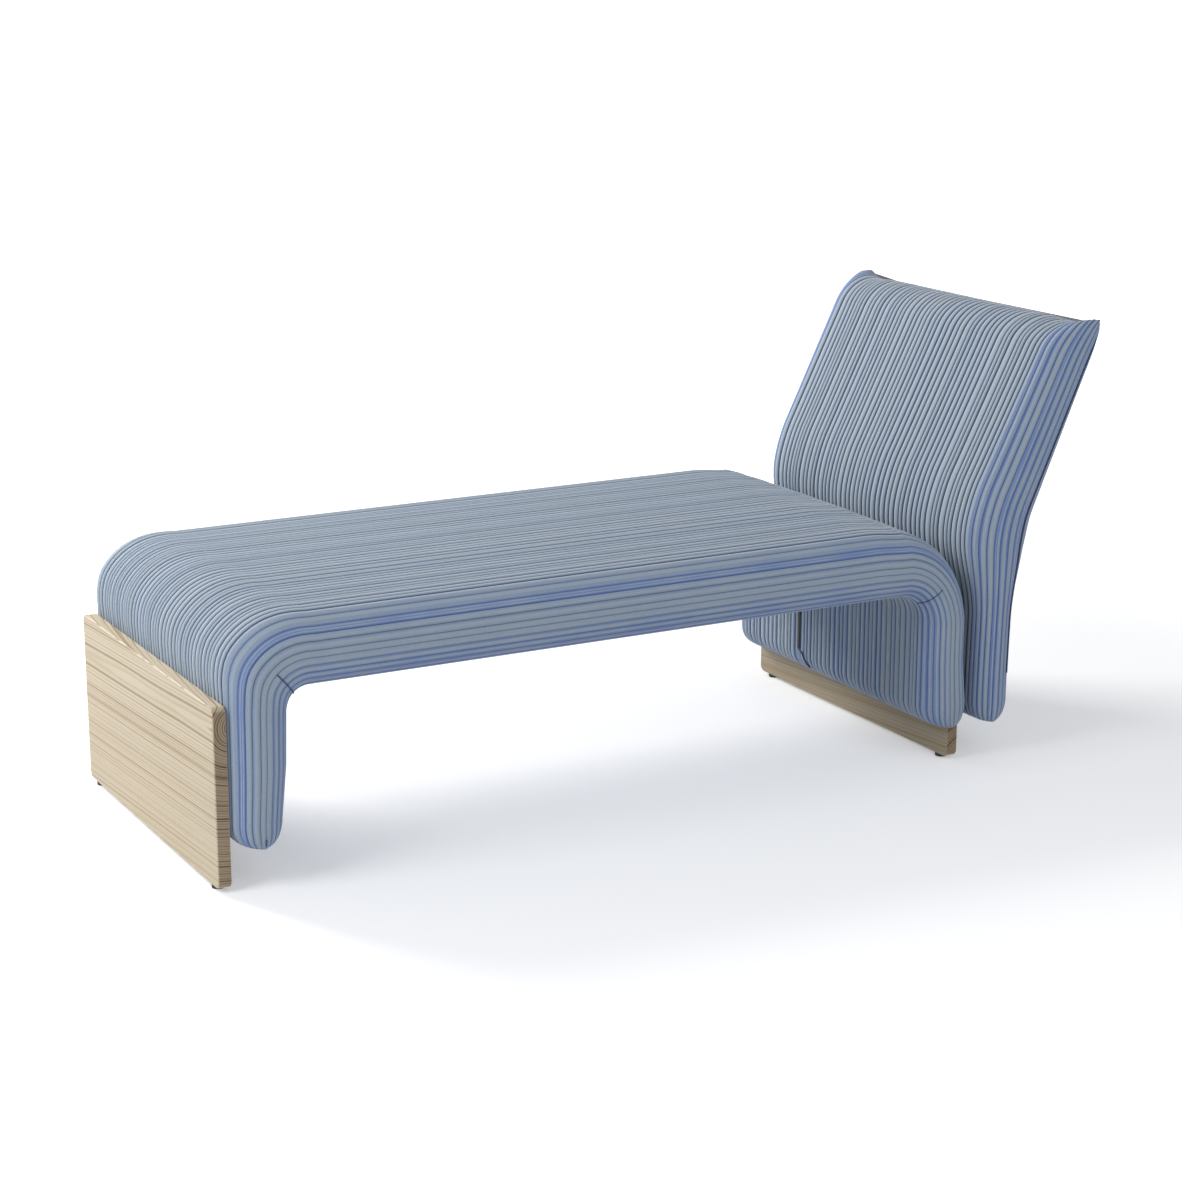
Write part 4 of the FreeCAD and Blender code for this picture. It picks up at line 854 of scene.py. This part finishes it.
class CHAISE_OT_timber(bpy.types.Operator):
    """Gives the foot panel and the plinth their sawn timber, the plinth's darkened as painted shade"""

    bl_idname = "chaise.timber"
    bl_label = "Timber"

    def execute(self, context):
        look = looks("chaise_timber")
        rings = growth_rings()
        settings = {"Specular IOR Level": 0.35}
        pale = np.array(look.pale)
        boards = (
            ("foot_panel", "Foot panel timber", pale, PANEL_LOW.x + 0.036, 0.245, 0.0040),
            # The plinth's pale wood is the panel's, darkened to 0.72 as painted shade
            ("plinth_board", "Plinth timber in painted shade", pale * 0.72, PLINTH_LOW.x + 0.06, -0.05, 0.0052),
        )
        for board, name, shade, log_x, log_z, spacing in boards:
            values = {"Pale": rgba(shade), "Ring": rgba(look.ring), "End": rgba(look.end)}
            values |= {"End ring": rgba(look.end_ring), "Log X": log_x, "Log Z": log_z, "Spacing": spacing}
            dress(NODES[board], finish(name, rings, values, settings, 0.3, 0.0005))
        return {"FINISHED"}


# Two colours, grain size, lowest and highest roughness, metal and bump
FITTINGS = {
    "frame_paint": ((0.030, 0.031, 0.033), (0.060, 0.060, 0.062), 900.0, 0.42, 0.60, 0.0, 0.15),
    "webbing": ((0.035, 0.036, 0.040), (0.075, 0.075, 0.080), 700.0, 0.75, 0.95, 0.0, 0.6),
    "foam": ((0.780, 0.700, 0.520), (0.700, 0.600, 0.420), 500.0, 0.85, 1.0, 0.0, 0.7),
    "zip_tape": ((0.006, 0.007, 0.010), (0.020, 0.021, 0.026), 1200.0, 0.45, 0.75, 0.0, 0.5),
    "zip_metal": ((0.020, 0.020, 0.022), (0.120, 0.120, 0.125), 600.0, 0.25, 0.45, 0.6, 0.1),
    "brass_insert": ((0.640, 0.470, 0.200), (0.480, 0.330, 0.130), 800.0, 0.25, 0.42, 1.0, 0.2),
    "zinc_steel": ((0.560, 0.565, 0.580), (0.420, 0.430, 0.445), 800.0, 0.26, 0.44, 1.0, 0.2),
    "black_plastic": ((0.012, 0.012, 0.013), (0.035, 0.035, 0.037), 1100.0, 0.38, 0.55, 0.0, 0.3),
}


class CHAISE_OT_fittings(bpy.types.Operator):
    """Finishes the frames, foam, webbing, fasteners, zip and glides"""

    bl_idname = "chaise.fittings"
    bl_label = "Fittings"

    def execute(self, context):
        made = {}
        for slot, (base, shade, size, low, high, metal, bump) in FITTINGS.items():
            name = slot.replace("_", " ").capitalize()
            made[slot] = worn(name, base, shade, size, low, high, {"Metallic": metal}, bump, 0.0004)
        for part in frame["record"]["subparts"]:
            if part["material_slot"] in made:
                dress(NODES[part["node"]], made[part["material_slot"]])
        return {"FINISHED"}


def seen_ray(tree):
    """1 for what the camera sees, straight or in a mirror or through glass, and 0 for other light."""
    path = node(tree, "LightPath").outputs
    second = maths(tree, "MAXIMUM", path["Is Glossy Ray"], path["Is Transmission Ray"])
    return maths(tree, "MAXIMUM", path["Is Camera Ray"], second)


def studio_floor():
    """A pale floor that fades to white away from the chaise."""
    bpy.ops.mesh.primitive_plane_add(size=60.0, location=(0, 0, -0.0005))
    floor = bpy.context.object
    floor.name = "studio_floor"
    material = bpy.data.materials.new("Studio floor")
    material.use_nodes = True
    tree = material.node_tree
    shader = tree.nodes["Principled BSDF"].inputs
    shader["Base Color"].default_value = (0.86, 0.87, 0.89, 1)
    shader["Roughness"].default_value = 0.95
    shader["Specular IOR Level"].default_value = 0.0
    place = node(tree, "TexCoord").outputs["Object"]
    away = node(tree, "VectorMath", {"operation": "LENGTH"}, {0: place}).outputs["Value"]
    near_to_far = {"Value": away, "From Min": 1.2, "From Max": 3.2, "To Min": 0.31, "To Max": 1.1}
    fade = node(tree, "MapRange", {"interpolation_type": "SMOOTHSTEP"}, near_to_far).outputs[0]
    tree.links.new(maths(tree, "MULTIPLY", seen_ray(tree), fade), shader["Emission Strength"])
    shader["Emission Color"].default_value = (1, 1, 1, 1)
    dress(floor, material)


def studio_world(scene):
    """White where it is seen, and a soft, cooler light where it lights the chaise."""
    world = bpy.data.worlds.new("Studio")
    scene.world = world
    world.use_nodes = True
    tree = world.node_tree
    tree.nodes.clear()
    soft = node(tree, "Background", inputs={"Color": (0.95, 0.97, 1.0, 1), "Strength": 0.37}).outputs[0]
    white = node(tree, "Background", inputs={"Color": (1, 1, 1, 1), "Strength": 1.0}).outputs[0]
    mix = node(tree, "MixShader", inputs={0: seen_ray(tree), 1: soft, 2: white})
    out = tree.nodes.new("ShaderNodeOutputWorld")
    tree.links.new(mix.outputs[0], out.inputs[0])


# Name, place, aim, watts, size and colour
LAMPS = (
    ("window", (-1.6, 3.0, 2.3), (0.0, 0.0, 0.3), 160.0, 1.6, (1.0, 0.965, 0.92)),
    ("key", (-3.0, -0.6, 2.2), (-0.1, 0.0, 0.3), 42.0, 1.6, (1.0, 1.0, 1.0)),
    ("fill", (0.6, -3.6, 2.4), (0.2, 0.0, 0.3), 34.0, 2.6, (1.0, 1.0, 1.0)),
)


class CHAISE_OT_stage(bpy.types.Operator):
    """Sets out the floor, the studio lamps and the camera"""

    bl_idname = "chaise.stage"
    bl_label = "Stage"

    def execute(self, context):
        scene = context.scene
        scene.view_settings.view_transform = "Standard"
        studio_floor()
        studio_world(scene)
        for name, place, aim, power, size, shade in LAMPS:
            light = bpy.data.lights.new(name, "AREA")
            light.energy = power
            light.size = size
            light.color = shade
            lamp = bpy.data.objects.new(name, light)
            scene.collection.objects.link(lamp)
            lamp.location = place
            lamp.rotation_euler = (Vector(aim) - Vector(place)).to_track_quat("-Z", "Y").to_euler()
        lens = bpy.data.cameras.new("photo_camera")
        lens.lens = FOCAL_LENGTH
        lens.sensor_width = SENSOR_WIDTH
        lens.clip_end = 100.0
        camera = bpy.data.objects.new("photo_camera", lens)
        scene.collection.objects.link(camera)
        x, y, z = CAMERA_PLACE
        camera.location = (x + PANEL_FACE, y, z)
        camera.rotation_euler = (math.radians(90 - CAMERA_DOWN), 0, math.radians(-CAMERA_ROUND))
        scene.camera = camera
        return {"FINISHED"}


STEPS = ("seat_cover", "back_cover", "seams", "timber", "fittings", "stage")


class CHAISE_PT_panel(bpy.types.Panel):
    bl_label = "Chaise longue"
    bl_idname = "CHAISE_PT_panel"
    bl_space_type = "VIEW_3D"
    bl_region_type = "UI"
    bl_category = "Chaise"

    def draw(self, context):
        for name, kind in GROUPS.items():
            box = self.layout.box()
            for key in kind.__annotations__:
                box.prop(getattr(context.scene, name), key)
        for step in STEPS:
            self.layout.operator("chaise." + step)


GROUPS = {
    "chaise_seat": SeatSizes,
    "chaise_back": BackSizes,
    "chaise_cover": CoverLooks,
    "chaise_timber": TimberLooks,
}
CLASSES = (
    *GROUPS.values(),
    CHAISE_OT_seat_cover,
    CHAISE_OT_back_cover,
    CHAISE_OT_seams,
    CHAISE_OT_timber,
    CHAISE_OT_fittings,
    CHAISE_OT_stage,
    CHAISE_PT_panel,
)


def register():
    for thing in CLASSES:
        bpy.utils.register_class(thing)
    for name, kind in GROUPS.items():
        setattr(bpy.types.Scene, name, bpy.props.PointerProperty(type=kind))


def unregister():
    for name in GROUPS:
        delattr(bpy.types.Scene, name)
    for thing in reversed(CLASSES):
        bpy.utils.unregister_class(thing)


def main():
    register()
    ribbed_weave()
    worn_grain()
    for step in STEPS:
        getattr(bpy.ops.chaise, step)()


if __name__ == "__main__":
    main()
